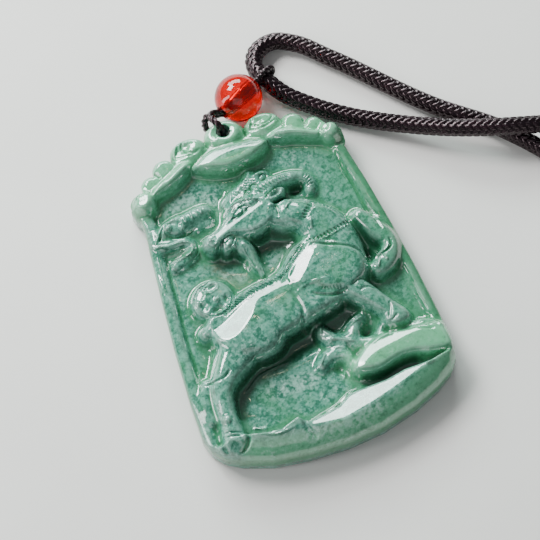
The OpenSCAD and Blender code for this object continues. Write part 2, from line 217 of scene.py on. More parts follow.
def store_map(thing: Thing, across: np.ndarray, along: np.ndarray) -> None:
    """Keep a map of two numbers for each point, written to every corner.

    Args:
        thing: Object whose mesh gets the map.
        across: First number of each point.
        along: Second number of each point.
    """
    layer = thing.data.uv_layers.new(name="path_map")
    corner = np.empty(len(thing.data.loops), np.int32)
    thing.data.loops.foreach_get("vertex_index", corner)
    both = np.stack([across[corner], along[corner]], axis=1)
    layer.data.foreach_set("uv", both.astype(np.float32).ravel())


def frames_along(path: np.ndarray, closed: bool = False) -> Tuple[np.ndarray, np.ndarray, np.ndarray]:
    """Carry two cross directions along a path without twist.

    Args:
        path: Centre points, one row each.
        closed: Whether the path is a loop; the twist left at its end is then
            shared out over its whole length.

    Returns:
        Direction along the path, sideways and upwards, at each point.
    """
    n = len(path)
    if closed:
        along = unit(np.roll(path, -1, axis=0) - np.roll(path, 1, axis=0))
    else:
        along = unit(np.gradient(path, axis=0))
    start = np.cross(along[0], (0, 0, 1.0) if abs(along[0, 2]) < 0.8 else (1.0, 0, 0))
    side = np.empty_like(along)
    side[0] = start / np.linalg.norm(start)
    for k in range(1, n):
        carried = side[k - 1] - side[k - 1].dot(along[k]) * along[k]
        side[k] = carried / np.linalg.norm(carried)
    up = np.cross(along, side)
    if closed:
        last = side[-1] - side[-1].dot(along[0]) * along[0]
        left = math.atan2(last.dot(up[0]), last.dot(side[0]))
        turn = (-left * np.arange(n) / n)[:, None]
        side, up = np.cos(turn) * side + np.sin(turn) * up, np.cos(turn) * up - np.sin(turn) * side
    return along, side, up


def tube_faces(rings: int, sides: int, closed: bool) -> List[np.ndarray]:
    """Number the faces of a tube that is stored ring by ring.

    Args:
        rings: Rings of points.
        sides: Points in a ring.
        closed: Whether the last ring joins the first; an open tube gets flat caps.

    Returns:
        Blocks of faces.
    """
    faces = [grid_quads(rings, sides, wrap_rows=closed, wrap_cols=True)]
    if not closed:
        faces += [np.arange(sides)[None, ::-1], (rings - 1) * sides + np.arange(sides)[None, :]]
    return faces


def swept(name: str, path: np.ndarray, radius: np.ndarray, closed: bool = False) -> Thing:
    """Sweep a ring along a path: centre + radius * (cos a * side + sin a * up).

    Args:
        name: Name of the object.
        path: Centre points, one row each.
        radius: Radius for each point of the path and each side of the ring.
        closed: Whether the path is a loop; an open end is closed by a flat cap.

    Returns:
        The swept object, with a map of the turn and the distance along.
    """
    rings, sides = radius.shape
    _, side, up = frames_along(path, closed)
    turn = np.arange(sides) * 2 * math.pi / sides
    ring = np.cos(turn)[None, :, None] * side[:, None] + np.sin(turn)[None, :, None] * up[:, None]
    points = (path[:, None] + radius[..., None] * ring).reshape(-1, 3)
    thing = build_mesh(name, points, tube_faces(rings, sides, closed))
    along = np.repeat(lengths_along(path), sides)
    store_map(thing, np.tile(turn / (2 * math.pi), rings), along)
    return thing


def turned(name: str, profile: Rows, sides: int, place: Matrix, closed: bool = False) -> Thing:
    """Turn a profile about an axis: (distance * cos a, distance * sin a, height).

    Args:
        name: Name of the object.
        profile: Outline as distance from the axis and height along it.
        sides: Steps round the axis.
        place: Where the axis lies.
        closed: Whether the outline is a loop; an open one gets a flat cap at each end.

    Returns:
        The turned object.
    """
    outline = np.asarray(profile, float)
    angle = np.arange(sides) * 2 * math.pi / sides
    x = outline[:, None, 0] * np.cos(angle)[None, :]
    y = outline[:, None, 0] * np.sin(angle)[None, :]
    z = np.repeat(outline[:, 1:2], sides, axis=1)
    spin, shift = np.array(place.to_3x3()), np.array(place.translation)
    points = np.stack([x, y, z], axis=-1).reshape(-1, 3) @ spin.T + shift
    return build_mesh(name, points, tube_faces(len(outline), sides, closed))


# How the face is carved
Patches = Sequence[Tuple[Rows, float]]


@dataclass
class Near:
    """For each picked point of the face, what the nearest spot of a stroke gives it."""
    pick: np.ndarray
    distance: np.ndarray
    side: np.ndarray
    along: np.ndarray
    total: float
    carried: np.ndarray


class Relief:
    """Heights of the carved face, in millimetres, over its grid of points."""

    def __init__(self, x: np.ndarray, y: np.ndarray, z: np.ndarray) -> None:
        """Start from a plain ground."""
        self.shape = x.shape
        self.x, self.y, self.z = x.ravel(), y.ravel(), z.ravel().copy()

    def within(self, low: np.ndarray, high: np.ndarray) -> np.ndarray:
        """Pick the points inside a box, by number."""
        across = (self.x > low[0]) & (self.x < high[0])
        return np.flatnonzero(across & (self.y > low[1]) & (self.y < high[1]))

    def nearest(self, rows: Rows, reach: float, steps: int = 6) -> Near:
        """Find how far each point near a smooth stroke lies from it.

        For each straight piece of the stroke, a point's foot is where its own
        offset meets the piece at a right angle; the nearest foot counts.

        Args:
            rows: Points of the stroke: x, y and columns that are carried along.
            reach: How far from the stroke points are picked.
            steps: Pieces between one point of the stroke and the next.

        Returns:
            The picked points, with distance, side and place along the stroke.
        """
        path = relaxed(smooth_path(rows, steps)) if len(rows) > 2 else np.asarray(rows, float)
        pick = self.within(path[:, :2].min(0) - reach, path[:, :2].max(0) + reach)
        point = np.stack([self.x[pick], self.y[pick]], axis=1)
        best = np.full(len(pick), np.inf)
        side, along = np.zeros(len(pick)), np.zeros(len(pick))
        carried = np.zeros((len(pick), path.shape[1] - 2))
        reached = 0.0
        for a, b in zip(path[:-1], path[1:]):
            leg = b[:2] - a[:2]
            size = float(np.hypot(*leg))
            if size < 1e-9:
                continue
            offset = point - a[:2]
            t = np.clip(offset @ leg / size**2, 0, 1)
            gap = offset - t[:, None] * leg
            far = np.einsum("ij,ij->i", gap, gap)
            nearer = far < best
            best[nearer] = far[nearer]
            side[nearer] = (leg[0] * offset[nearer, 1] - leg[1] * offset[nearer, 0]) / size
            along[nearer] = reached + t[nearer] * size
            carried[nearer] = a[2:] + t[nearer, None] * (b[2:] - a[2:])
            reached += size
        return Near(pick, np.sqrt(best), side, along, reached, carried)

    def join(self, pick: np.ndarray, height: np.ndarray, melt: float) -> None:
        """Raise picked points to a form, with a soft joint.

        The joint is the higher of both heights plus a quarter of melt times
        the square of how nearly they meet.

        Args:
            pick: Numbers of the points.
            height: Height of the new form there.
            melt: Width of the soft joint.
        """
        old = self.z[pick]
        meet = np.maximum(melt - np.abs(old - height), 0) / melt
        self.z[pick] = np.maximum(old, height) + meet**2 * melt / 4

    def blur(self, values: np.ndarray, passes: int) -> np.ndarray:
        """Average each point with its neighbours by the weights 1, 2 and 1, both ways.

        Args:
            values: One value for each point of the grid.
            passes: How many times over.

        Returns:
            The blurred values, in the shape in which they came.
        """
        v = values.reshape(self.shape)
        for _ in range(passes):
            p = np.pad(v, 1, mode="edge")
            v = (p[1:-1, :-2] + 2 * p[1:-1, 1:-1] + p[1:-1, 2:]) / 4
            p = np.pad(v, 1, mode="edge")
            v = (p[:-2, 1:-1] + 2 * p[1:-1, 1:-1] + p[2:, 1:-1]) / 4
        return v.reshape(values.shape)

    def spread(self, patches: Patches, start: np.ndarray, weight: np.ndarray) -> np.ndarray:
        """Raise values near strokes to 1 - (distance / reach) ** 2 times a weight.

        Args:
            patches: Strokes and how far each one reaches.
            start: Values that stay where they are higher.
            weight: Weight of each point of the grid.

        Returns:
            The raised values, on the grid.
        """
        found = start.ravel().copy()
        for rows, reach in patches:
            zone = self.nearest(rows, reach)
            share = np.clip(1 - (zone.distance / reach) ** 2, 0, 1) * weight.ravel()[zone.pick]
            found[zone.pick] = np.maximum(found[zone.pick], share)
        return found.reshape(self.shape)


def relaxed(path: np.ndarray, passes: int = 10) -> np.ndarray:
    """Spread a path's bends out by moving inner points to a mean of three.

    Args:
        path: Points, one row each.
        passes: How many times over.

    Returns:
        The same number of points; both ends stay.
    """
    path = path.copy()
    for _ in range(passes):
        path[1:-1] = (path[:-2] + 2 * path[1:-1] + path[2:]) / 4
    return path


class Stroke:
    """One step of the carving."""

    def carve(self, face: Relief) -> None:
        """Work the step into the face."""
        raise NotImplementedError


@dataclass(frozen=True)
class Swell(Stroke):
    """A form that swells along a chain of rows: x, y, radius, top.

    Height above its foot is the top's share (1 - q ** (2 * crown)) ** fall,
    where q is the distance from the chain over the radius.
    """
    rows: Rows
    crown: float = 1.0
    melt: float = 0.4
    foot: float = 2.7
    fall: float = 0.6

    def carve(self, face: Relief) -> None:
        """Raise the form.

        Args:
            face: The face that is carved.
        """
        near = face.nearest(self.rows, max(row[2] for row in self.rows))
        radius, top = near.carried[:, 0], near.carried[:, 1]
        q = near.distance / radius
        inside = q < 1
        q, radius, top = q[inside], radius[inside], top[inside]
        share = (1 - q ** (2 * self.crown)) ** self.fall
        face.join(near.pick[inside], self.foot + (top - self.foot) * share, self.melt)


@dataclass(frozen=True)
class Panel(Stroke):
    """A form with an outline of its own: points x, y, walked round once.

    Its top plane has the given height over the outline's middle and a tilt,
    the rise per millimetre across and up.  It rounds down to the foot by the
    share (1 - (1 - d / edge) ** 2) ** fall, d the distance from the outline.
    """
    rows: Rows
    top: float
    edge: float = 1.4
    tilt: Tuple[float, float] = (0.0, 0.0)
    melt: float = 0.25
    foot: float = 2.7
    fall: float = 0.6

    def carve(self, face: Relief) -> None:
        """Raise the form inside the outline.

        A point is inside if a line to its right crosses the outline an odd
        number of times.

        Args:
            face: The face that is carved.
        """
        ring = smooth_path(self.rows, 4, closed=True)
        loop = np.vstack([ring, ring[:1]])
        pick = face.within(loop.min(0), loop.max(0))
        x, y = face.x[pick], face.y[pick]
        inside, gap = np.zeros(len(pick), bool), np.full(len(pick), np.inf)
        for a, b in zip(loop[:-1], loop[1:]):
            leg = b - a
            t = np.clip(((x - a[0]) * leg[0] + (y - a[1]) * leg[1]) / (leg @ leg), 0, 1)
            gap = np.minimum(gap, (x - a[0] - t * leg[0]) ** 2 + (y - a[1] - t * leg[1]) ** 2)
            if leg[1]:
                inside ^= ((a[1] > y) != (b[1] > y)) & (x < a[0] + (y - a[1]) * leg[0] / leg[1])
        middle = ring.mean(0)
        plane = self.top + self.tilt[0] * (x - middle[0]) + self.tilt[1] * (y - middle[1])
        share = (1 - (1 - np.minimum(np.sqrt(gap) / self.edge, 1)) ** 2) ** self.fall
        face.join(pick[inside], (self.foot + (plane - self.foot) * share)[inside], self.melt)


@dataclass(frozen=True)
class Mound(Stroke):
    """A rounded boss on an oval: at, half sizes, turn in degrees, top."""
    at: Tuple[float, float]
    half: Tuple[float, float]
    top: float
    turn: float = 0
    crown: float = 1.0
    melt: float = 0.3
    foot: float = 2.7
    fall: float = 0.6

    def carve(self, face: Relief) -> None:
        """Raise the boss: top share (1 - q ** crown) ** fall, q the oval's square.

        Args:
            face: The face that is carved.
        """
        q = oval_square(face, self.at, self.half, self.turn)
        pick = np.flatnonzero(q < 1)
        share = (1 - q[pick] ** self.crown) ** self.fall
        face.join(pick, self.foot + (self.top - self.foot) * share, self.melt)


@dataclass(frozen=True)
class Dish(Stroke):
    """A smooth hollow on an oval: at, half sizes, turn in degrees, depth."""
    at: Tuple[float, float]
    half: Tuple[float, float]
    depth: float
    turn: float = 0

    def carve(self, face: Relief) -> None:
        """Sink the hollow by depth * (1 - q) ** 2, q the oval's square.

        Args:
            face: The face that is carved.
        """
        q = oval_square(face, self.at, self.half, self.turn)
        pick = np.flatnonzero(q < 1)
        face.z[pick] -= self.depth * (1 - q[pick]) ** 2


@dataclass(frozen=True)
class Line(Stroke):
    """A ridge (height > 0) or a groove (height < 0) along points x, y.

    Its section is height * (1 - q ** 2) ** 2 with q the distance over the
    width; a share of its length fades in and out at the ends.
    """
    rows: Rows
    width: float = 0.35
    height: float = -0.3
    fade: float = 0.2

    def carve(self, face: Relief) -> None:
        """Work the line into the face.

        Args:
            face: The face that is carved.
        """
        near = face.nearest(self.rows, self.width)
        q = np.minimum(near.distance / self.width, 1)
        end = np.minimum(near.along, near.total - near.along) / max(self.fade * near.total, TINY)
        face.z[near.pick] += self.height * (1 - q**2) ** 2 * np.sqrt(np.clip(end, 0, 1))


@dataclass(frozen=True)
class Loop(Stroke):
    """A ridge or groove round an oval: at, half sizes, turn, width, height."""
    at: Tuple[float, float]
    half: Tuple[float, float]
    turn: float = 0
    width: float = 0.3
    height: float = -0.25

    def carve(self, face: Relief) -> None:
        """Work the ring in: the distance is about (q ** 0.5 - 1) * mean half size.

        Args:
            face: The face that is carved.
        """
        q = np.sqrt(oval_square(face, self.at, self.half, self.turn))
        far = np.abs(q - 1) * (self.half[0] + self.half[1]) / 2 / self.width
        pick = np.flatnonzero(far < 1)
        face.z[pick] += self.height * (1 - far[pick] ** 2) ** 2


@dataclass(frozen=True)
class Hatch(Stroke):
    """Short cuts side by side along points x, y: width, pitch, depth, lean.

    They fade in and out over the length ease at both ends.
    """
    rows: Rows
    width: float = 0.7
    pitch: float = 0.55
    depth: float = 0.22
    lean: float = 0.5
    ease: float = 0.4

    def carve(self, face: Relief) -> None:
        """Cut by depth * (1 - cos) / 2 of the place along plus lean times the side.

        Args:
            face: The face that is carved.
        """
        near = face.nearest(self.rows, self.width)
        window = np.clip(1 - (near.distance / self.width) ** 4, 0, 1)
        end = np.clip(np.minimum(near.along, near.total - near.along) / self.ease, 0, 1)
        wave = 0.5 - 0.5 * np.cos(2 * math.pi * (near.along + self.lean * near.side) / self.pitch)
        face.z[near.pick] -= self.depth * wave * window * end


@dataclass(frozen=True)
class Bevel(Stroke):
    """A flat cut along rows x, y, height, on the right as one walks along them.

    The cut rises from the row's height by slope times the distance, as far as
    reach, and the form above that plane is taken off.  On the left the form is
    taken down to the row's height, as far as behind.
    """
    rows: Rows
    slope: float
    reach: float = 4.0
    behind: float = 0.0

    def carve(self, face: Relief) -> None:
        """Cut the bevel beside the rows, but not beyond their ends.

        Args:
            face: The face that is carved.
        """
        near = face.nearest(self.rows, self.reach)
        right = near.side < 0
        reach = np.where(right, self.reach, self.behind)
        inner = (near.distance < reach) & (near.along > TINY) & (near.along < near.total - TINY)
        pick = near.pick[inner]
        plane = near.carried[inner, 0] + np.where(right, self.slope, 0)[inner] * near.distance[inner]
        face.z[pick] = np.minimum(face.z[pick], plane)


def oval_square(face: Relief, at: Tuple[float, float], half: Tuple[float, float], turn: float) -> np.ndarray:
    """Give (u / a) ** 2 + (v / b) ** 2 of each point in a turned oval's own axes.

    Args:
        face: The face with its grid of points.
        at: Middle of the oval.
        half: Half sizes a and b.
        turn: Turn of the oval, in degrees.

    Returns:
        One number for each point, below one inside the oval.
    """
    c, s = math.cos(math.radians(turn)), math.sin(math.radians(turn))
    dx, dy = face.x - at[0], face.y - at[1]
    return ((c * dx + s * dy) / half[0]) ** 2 + ((c * dy - s * dx) / half[1]) ** 2


# The carving, in millimetres; the classes above say what the numbers of a row are
BED: Tuple[Stroke, ...] = (
    # deep ground under the head and the belly, beside the raised leg and at the left
    Dish((-1.6, 6.3), (8.6, 3.6), 0.7, -2), Dish((-1, -11), (11.5, 2.8), 0.9, 9),
    Dish((13.9, -1), (1.6, 3.8), 0.7),
    Dish((-16, -7), (1.8, 5), 0.3), Dish((-11.5, -16), (3, 4), 0.4),
    # lobes behind, from the left inwards and from the right inwards, and the ring
    *(Mound(at, half, top, crown=2.4, melt=0.2, fall=0.5) for at, half, top in (
        ((-14.5, 22.3), (2, 1.9), 5.7), ((-11.8, 24.3), (2.1, 2), 5.8), ((-7, 26.1), (3.3, 2.4), 6.1),
        ((13.7, 23.9), (1.7, 1.6), 5.7), ((10.5, 25.2), (2.2, 2.1), 5.8), ((5.9, 26.4), (3.3, 2.5), 6.1))),
    Mound((-0.6, 26.7), (3.7, 3.1), 6.4, crown=1.8),
    # saddles that join the lobes to the rolls and the plate
    Swell(((-15.4, 21.2, 1.9, 5.4), (-12.4, 22.4, 2.1, 5.5), (-8.8, 24, 1.9, 5.5), (-5, 24.6, 1.7, 5.3),
           (-2, 24.4, 1.5, 5.2), (1.5, 24.4, 1.5, 5.2), (4.6, 24.6, 1.8, 5.3), (8, 24.2, 2, 5.5),
           (11.5, 23.3, 2, 5.5), (14.6, 22.2, 1.8, 5.4)), 1.6, 0.5),
    # rolled clouds in front, balls at both ends
    Panel(((-16.2, 18.6), (-15.4, 21), (-14, 21.9), (-12.3, 22.7), (-10.6, 23.7), (-8.8, 24.3), (-7.3, 24.1),
           (-6.9, 23.4), (-7.3, 22.7), (-8.1, 21.8), (-9.3, 20.9), (-10.6, 20.2), (-12.1, 19.7),
           (-13.7, 19.3), (-15.2, 18.7)), 6.9, 1.9, fall=0.5),
    Panel(((5, 23.4), (6, 24.3), (7.8, 24.8), (9.8, 24.5), (11.6, 23.7), (13.2, 22.8), (14.8, 22),
           (15.8, 20.8), (15.4, 19.5), (14, 20), (12.5, 20.5), (11, 21.1), (9.5, 21.7), (8, 22), (6.5, 22.5),
           (5.5, 23)), 6.9, 1.9, fall=0.5),
    Mound((-16.7, 19.4), (2.2, 2.3), 7.1, melt=0.2, crown=1.3, fall=0.5),
    Mound((15.7, 21.2), (2.1, 2.2), 7, melt=0.2, crown=1.3, fall=0.5),
    # plate under the ring
    Panel(((-7.8, 22.2), (-6.4, 23.2), (-4.8, 24.1), (-2.8, 24.5), (-0.6, 24.5), (1.6, 24.4), (3.6, 24.1),
           (5.2, 23.4), (5.6, 22.6), (5, 21.7), (3.8, 20.9), (2, 20.2), (-0.2, 19.8), (-2.4, 19.8),
           (-4.4, 20.3), (-6, 21), (-7.2, 21.7)),
          7.25, 1.4, foot=3.8, fall=0.45),
    # ruyi cloud, in low relief
    Panel(((-15.1, 15.3), (-13.3, 15.9), (-11.7, 16), (-10.5, 16.2), (-9.1, 16.4), (-7.8, 16.3), (-7, 15.6),
           (-6.7, 14.8), (-7.2, 14), (-8.1, 13.5), (-9.6, 13.1), (-11, 12.6), (-12.2, 12), (-13.6, 11.8),
           (-15, 12.1), (-16.4, 12.6), (-16.8, 13.4), (-16.2, 14.6)), 5.9, 1.5, foot=3.6, fall=0.55),
    Swell(((-17.2, 13.4, 1.4, 5.2), (-17, 11.8, 1.5, 5.3), (-15, 11.3, 1.6, 5.3), (-13, 11, 1.6, 5.3),
           (-11.7, 9.7, 1.5, 5.3), (-12.8, 8.4, 1.2, 5.1), (-15.6, 7.6, 1.1, 4.9)), 1.2, 0.8, 3.8, 0.9),
    Swell(((-13.8, 12.7, 1.3, 5), (-10.6, 12.9, 1.2, 5), (-8, 13.2, 1, 4.8)), 1.2, 0.8, 3.8, 0.9),
    # barrel, thigh and shoulder
    Swell(((-9.5, -6.4, 5, 8.1), (-4, -5.6, 4.8, 7.95), (1, -4.6, 4.7, 7.85), (5, -4, 4.4, 7.8)), 3, 0.8),
    Mound((-8.4, -7), (6.4, 5.4), 8.2, -22, 2.6, 0.8),
    Mound((7.2, -1.7), (6.4, 5), 8.5, -14, 3.4, 0.3),
    Swell(((1.9, -1.7, 2.5, 8.3), (3.5, 0.1, 2.5, 8.4), (5.8, 1.4, 2.5, 8.5)), 3, 0.3),
    # neck
    Swell(((9.4, -0.5, 4.6, 7.6), (9, 3, 5, 7.8), (8.4, 5.6, 4.8, 8), (6.6, 8, 3.8, 8.05),
           (4.4, 9.7, 2.8, 7.95)), 1.7, 0.7),
    Swell(((0.6, 10.6, 2.6, 7.5), (2.8, 9.5, 2.9, 7.7), (5, 8.4, 2.8, 7.9)), 1.5, 1.2),
    # head and muzzle
    Panel(((-10.5, 8.4), (-10.2, 9.5), (-9.3, 10.3), (-8.2, 10.6), (-7.2, 11), (-6.2, 11.8), (-5.3, 12.8),
           (-4.4, 13.6), (-3.1, 14.3), (-1.5, 14.4), (0.2, 14.3), (1.8, 13.8), (2.8, 12.6), (2.8, 10.6),
           (2.2, 9.1), (0.9, 8), (-0.8, 7.4), (-2.6, 7.3), (-4.2, 7.7), (-5.6, 8.1), (-6.6, 7.8),
           (-7.6, 7.3), (-8.6, 7), (-9.7, 7.4)), 7.75, 1.3, (0.05, 0), 0.4, fall=0.42),
    Mound((-9, 8.7), (1.8, 1.9), 7.5, 20, 1.8, 0.3, fall=0.5),
    Mound((-6.5, 7.5), (1.75, 1.1), 7.1, 36, 1.6, 0.2, fall=0.5),
    Swell(((-3.4, 12.4, 2.6, 7.1), (-0.6, 13.4, 2.6, 7.1), (2, 13.8, 2.2, 7)), 1.5, 0.8),
    # near hind leg
    Swell(((-9.6, -8, 4.8, 8), (-12.4, -10.8, 3.5, 7.6), (-15.2, -13.8, 2.4, 7.2), (-15.9, -17, 2, 6.8),
           (-16, -20, 1.9, 6.7), (-16.2, -22.9, 2.3, 6.9)), 1.5, 0.6),
    # far hind leg
    Swell(((-17.2, -12.8, 1.3, 6), (-18.1, -14.4, 1.3, 5.6), (-18.6, -16.6, 1.3, 5.5),
           (-18.4, -18.4, 1.1, 5.2)), 1.2, 0.6, 3.8, 0.8),
    # tail
    Swell(((-12.2, -4.7, 1.4, 7), (-14.4, -4.9, 1.8, 6.5)), 1.2, 0.5),
    # standing fore leg and its hoof
    Swell(((8.8, -5.2, 3, 7.8), (11, -7.8, 2.5, 7.5), (12.8, -10.2, 2.2, 7.2),
           (14.2, -12.3, 2.4, 7.1)), 1.5, 0.6),
    Mound((14, -12.5), (2.8, 2.1), 7.3, -12, 1.8, 0.4),
    # raised fore leg
    Swell(((14.8, 5.6, 1.7, 6.1), (15.7, 3.8, 2, 6.3), (16.8, 1.8, 2.1, 6.4), (17.8, 0.2, 1.8, 6.3),
           (17.4, -1.4, 1.8, 6.4), (16.2, -2.9, 2.2, 6.7), (14.4, -3.8, 1.9, 6.4)), 1.3, 0.7, 3.7),
    # beard
    Swell(((-5.2, 7.8, 1.4, 6.6), (-4.5, 6.9, 1.8, 6.6), (-3.8, 5.8, 1.6, 6.4),
           (-3.5, 4.6, 1.1, 6)), 1.6, 0.3, fall=0.5),
    Swell(((-3.9, 5, 1.1, 5.8), (-3.6, 3.8, 1.2, 5.7), (-3.2, 2.6, 1, 5.3), (-3, 1.5, 0.6, 4.8)), 1.4, 0.15,
          fall=0.6),
    # horn and forelock, in low relief
    Swell(((-0.4, 14.2, 1.6, 7.3), (2.6, 15.2, 1.7, 7.1), (5.8, 15.8, 1.6, 6.5), (8.2, 15.5, 1.5, 6),
           (9.5, 14.4, 1.4, 5.6), (9.2, 13, 1.3, 5.3)), 1.1, 0.7, 3.8, 0.8),
    Swell(((-3.8, 14.8, 1.6, 6.1), (-1.2, 15.9, 2, 6.2), (1, 16.8, 2, 6.2),
           (2.6, 17.4, 1.6, 6)), 1.3, 0.8, 3.8, 0.8),
    Mound((0.6, 18.8), (1.6, 1), 5, 30, 1.2, 0.5, 3.8, 1),
    Swell(((-4.6, 13.2, 1, 5.8), (-3.9, 14.2, 1.1, 5.7), (-3.3, 15.3, 1.1, 5.4),
           (-3, 16.5, 0.9, 4.9)), 1.2, 0.7, 3.8, 0.9),
    # hair along the back
    Swell(((-13, -4.1, 1.2, 7.1), (-11.2, -3.6, 1.5, 7.2), (-9.4, -2.8, 1.6, 7.25), (-7.4, -1.8, 1.6, 7.3),
           (-4.2, -0.9, 1.5, 7.3), (-1.4, -0.6, 1.4, 7.2), (0.6, 0.4, 1.4, 7.2), (2.2, 2.1, 1.4, 7.4),
           (3.9, 3.3, 1.4, 7.6), (5.4, 3.8, 1.1, 7.8)), 1.3, 0.4, 3.7, 0.8),
    Swell(((-13, -4.2, 1.6, 7.1), (-11, -3.5, 1.8, 7.15), (-9, -2.6, 1.8, 7.2), (-7, -1.8, 1.7, 7.3),
           (-4.4, -1.2, 1.6, 7.4), (-2, -1, 1.4, 7.4)),
          2.5, 0.3, fall=0.5),
    # coin
    Mound((-11.9, -0.1), (3.6, 3.55), 6.7, 0, 4, 0.2, 3.7, 0.5),
    # plants, in low relief
    Swell(((2.3, -9.9, 1.2, 5), (2.6, -11.4, 1.6, 5.5), (3.8, -12.8, 1.8, 5.6), (5.4, -13.2, 1.7, 5.5),
           (6.8, -12.8, 1.5, 5.5), (7.2, -11.6, 1.4, 5.5), (8.4, -10.6, 1.2, 5.3),
           (10, -9.8, 1, 5)), 1.2, 0.7, 3.7, 0.8),
    Swell(((6.6, -14.2, 1.5, 5.6), (8.6, -14.6, 1.3, 5.6), (10.4, -14.2, 1.3, 5.5), (11.4, -13, 1.1, 5.4),
           (11.7, -11.9, 0.9, 5.1)), 1.2, 0.7, 3.7, 0.8),
    Swell(((0.5, -15.6, 1.3, 5), (1.9, -14.7, 1.5, 5.4), (3.4, -14.6, 1.5, 5.5), (4.6, -15.4, 1.4, 5.5),
           (4.8, -16.8, 1.2, 5.4)), 1.2, 0.7, 3.7, 0.8),
    # rock under the fore hoof
    Panel(((4.2, -18.2), (5, -17), (6.2, -16), (7.8, -15), (9.6, -14.4), (11.4, -14), (12.8, -14.2),
           (14.4, -14.4), (16.4, -14.5), (19, -14.8), (22, -15.6), (24, -18), (22, -20.4), (19, -20.5),
           (16.4, -20.1), (14.6, -19.5), (12.8, -19.3), (11, -19.6), (8.6, -20.2), (6.2, -19.9),
           (4.6, -19.1)), 7, 1.3, (-0.05, 0), 0.3, fall=0.42),
    Swell(((15.8, -14.6, 1.3, 5.9), (18, -14.9, 1.3, 6), (19.2, -15.8, 1.3, 6),
           (19.8, -17.4, 1.3, 5.9)), 1.2, 0.6, 3.8, 0.8),
)
EDGES: Tuple[Stroke, ...] = (
    # bevels over the rolls and the plate, which catch the light
    Bevel(((-16.4, 20.8, 6.25), (-12.6, 22.9, 6.25), (-8.6, 24.7, 6.25), (-6.6, 25.5, 6.2)), 0.45, 1.7),
    Bevel(((4.4, 25.3, 6.25), (8.4, 24.9, 6.25), (12, 23.8, 6.25), (15.6, 21.8, 6.2)), 0.45, 1.7),
    Bevel(((-8.6, 22.2, 6.2), (-5, 24.2, 6.3), (-1.3, 24.9, 6.3), (2.4, 24.7, 6.3),
           (6.2, 23.4, 6.2)), 0.42, 2.7),
    # small facets on the left ball, the lobes and the coin, turned to the upper left
    Bevel(((-19.4, 17.6, 6.2), (-17.2, 21.3, 6.2)), 0.36, 2.5),
    Bevel(((-10, 24.6, 5.2), (-8.4, 27.6, 5.2)), 0.34, 2),
    Bevel(((-4.2, 25.2, 5.5), (-2.8, 28.4, 5.5)), 0.36, 1.5),
    Bevel(((2.8, 24.8, 5.3), (4.4, 27.8, 5.3)), 0.34, 1.6),
    Bevel(((-15.4, 1.2, 5.7), (-13, 4, 5.7)), 0.34, 2),
    # rock and ground
    Bevel(((3.4, -18.9, 6.6), (5, -17.4, 6.65), (7.2, -16, 6.6), (9.6, -15.1, 6.4), (12.4, -14.9, 6.35),
           (15.6, -15.1, 6.5), (18.6, -15.6, 6.4), (21, -16.8, 6.2)), 0.42, 2),
    # eye socket, and the bright band between it and the cheek
    Dish((-3.6, 12.3), (3, 1.1), 0.4, 20),
    Bevel(((-9.4, 9.4, 7), (-7.6, 9.9, 7.15), (-6, 10.35, 7.34), (-4.2, 10.9, 7.46), (-2.4, 11.5, 7.54),
           (-1, 12, 7.61), (0.4, 12.5, 7.68)), 0.43, 1.2, 0.4),
    # flat bevels on the rump and the withers
    Bevel(((-13.8, -5.4, 6.9), (-11.7, -4.7, 7), (-9.7, -3.7, 7.1), (-7.6, -2.6, 7.3), (-4.8, -1.9, 7.5),
           (-2, -1.65, 7.5), (0, -1.4, 7.4)), 0.42, 3.8, 1.8),
    Bevel(((-0.4, -1.6, 7.6), (0.9, -1, 7.68), (1.7, 0.1, 7.74), (2.7, 1.3, 7.8), (4.1, 2.2, 7.92),
           (5.8, 2.6, 8.2)), 0.35, 3.2, 1.2),
    # hollows of the ring, inside the horn, between the plants and inside the raised leg
    Dish((-0.65, 27), (2.4, 2.05), 0.9), Dish((7.1, 13.9), (1.7, 1.2), 0.8),
    Dish((9.4, -12.7), (1.8, 1.5), 1),
    Dish((3.2, -16.9), (1.3, 1.1), 0.6), Dish((14, -0.4), (1, 1.2), 0.8),
    # lobes' flat tops
    Dish((-7.4, 26.4), (2.3, 1.5), 0.4, 12), Dish((5.9, 26.9), (2.4, 1.4), 0.4),
)
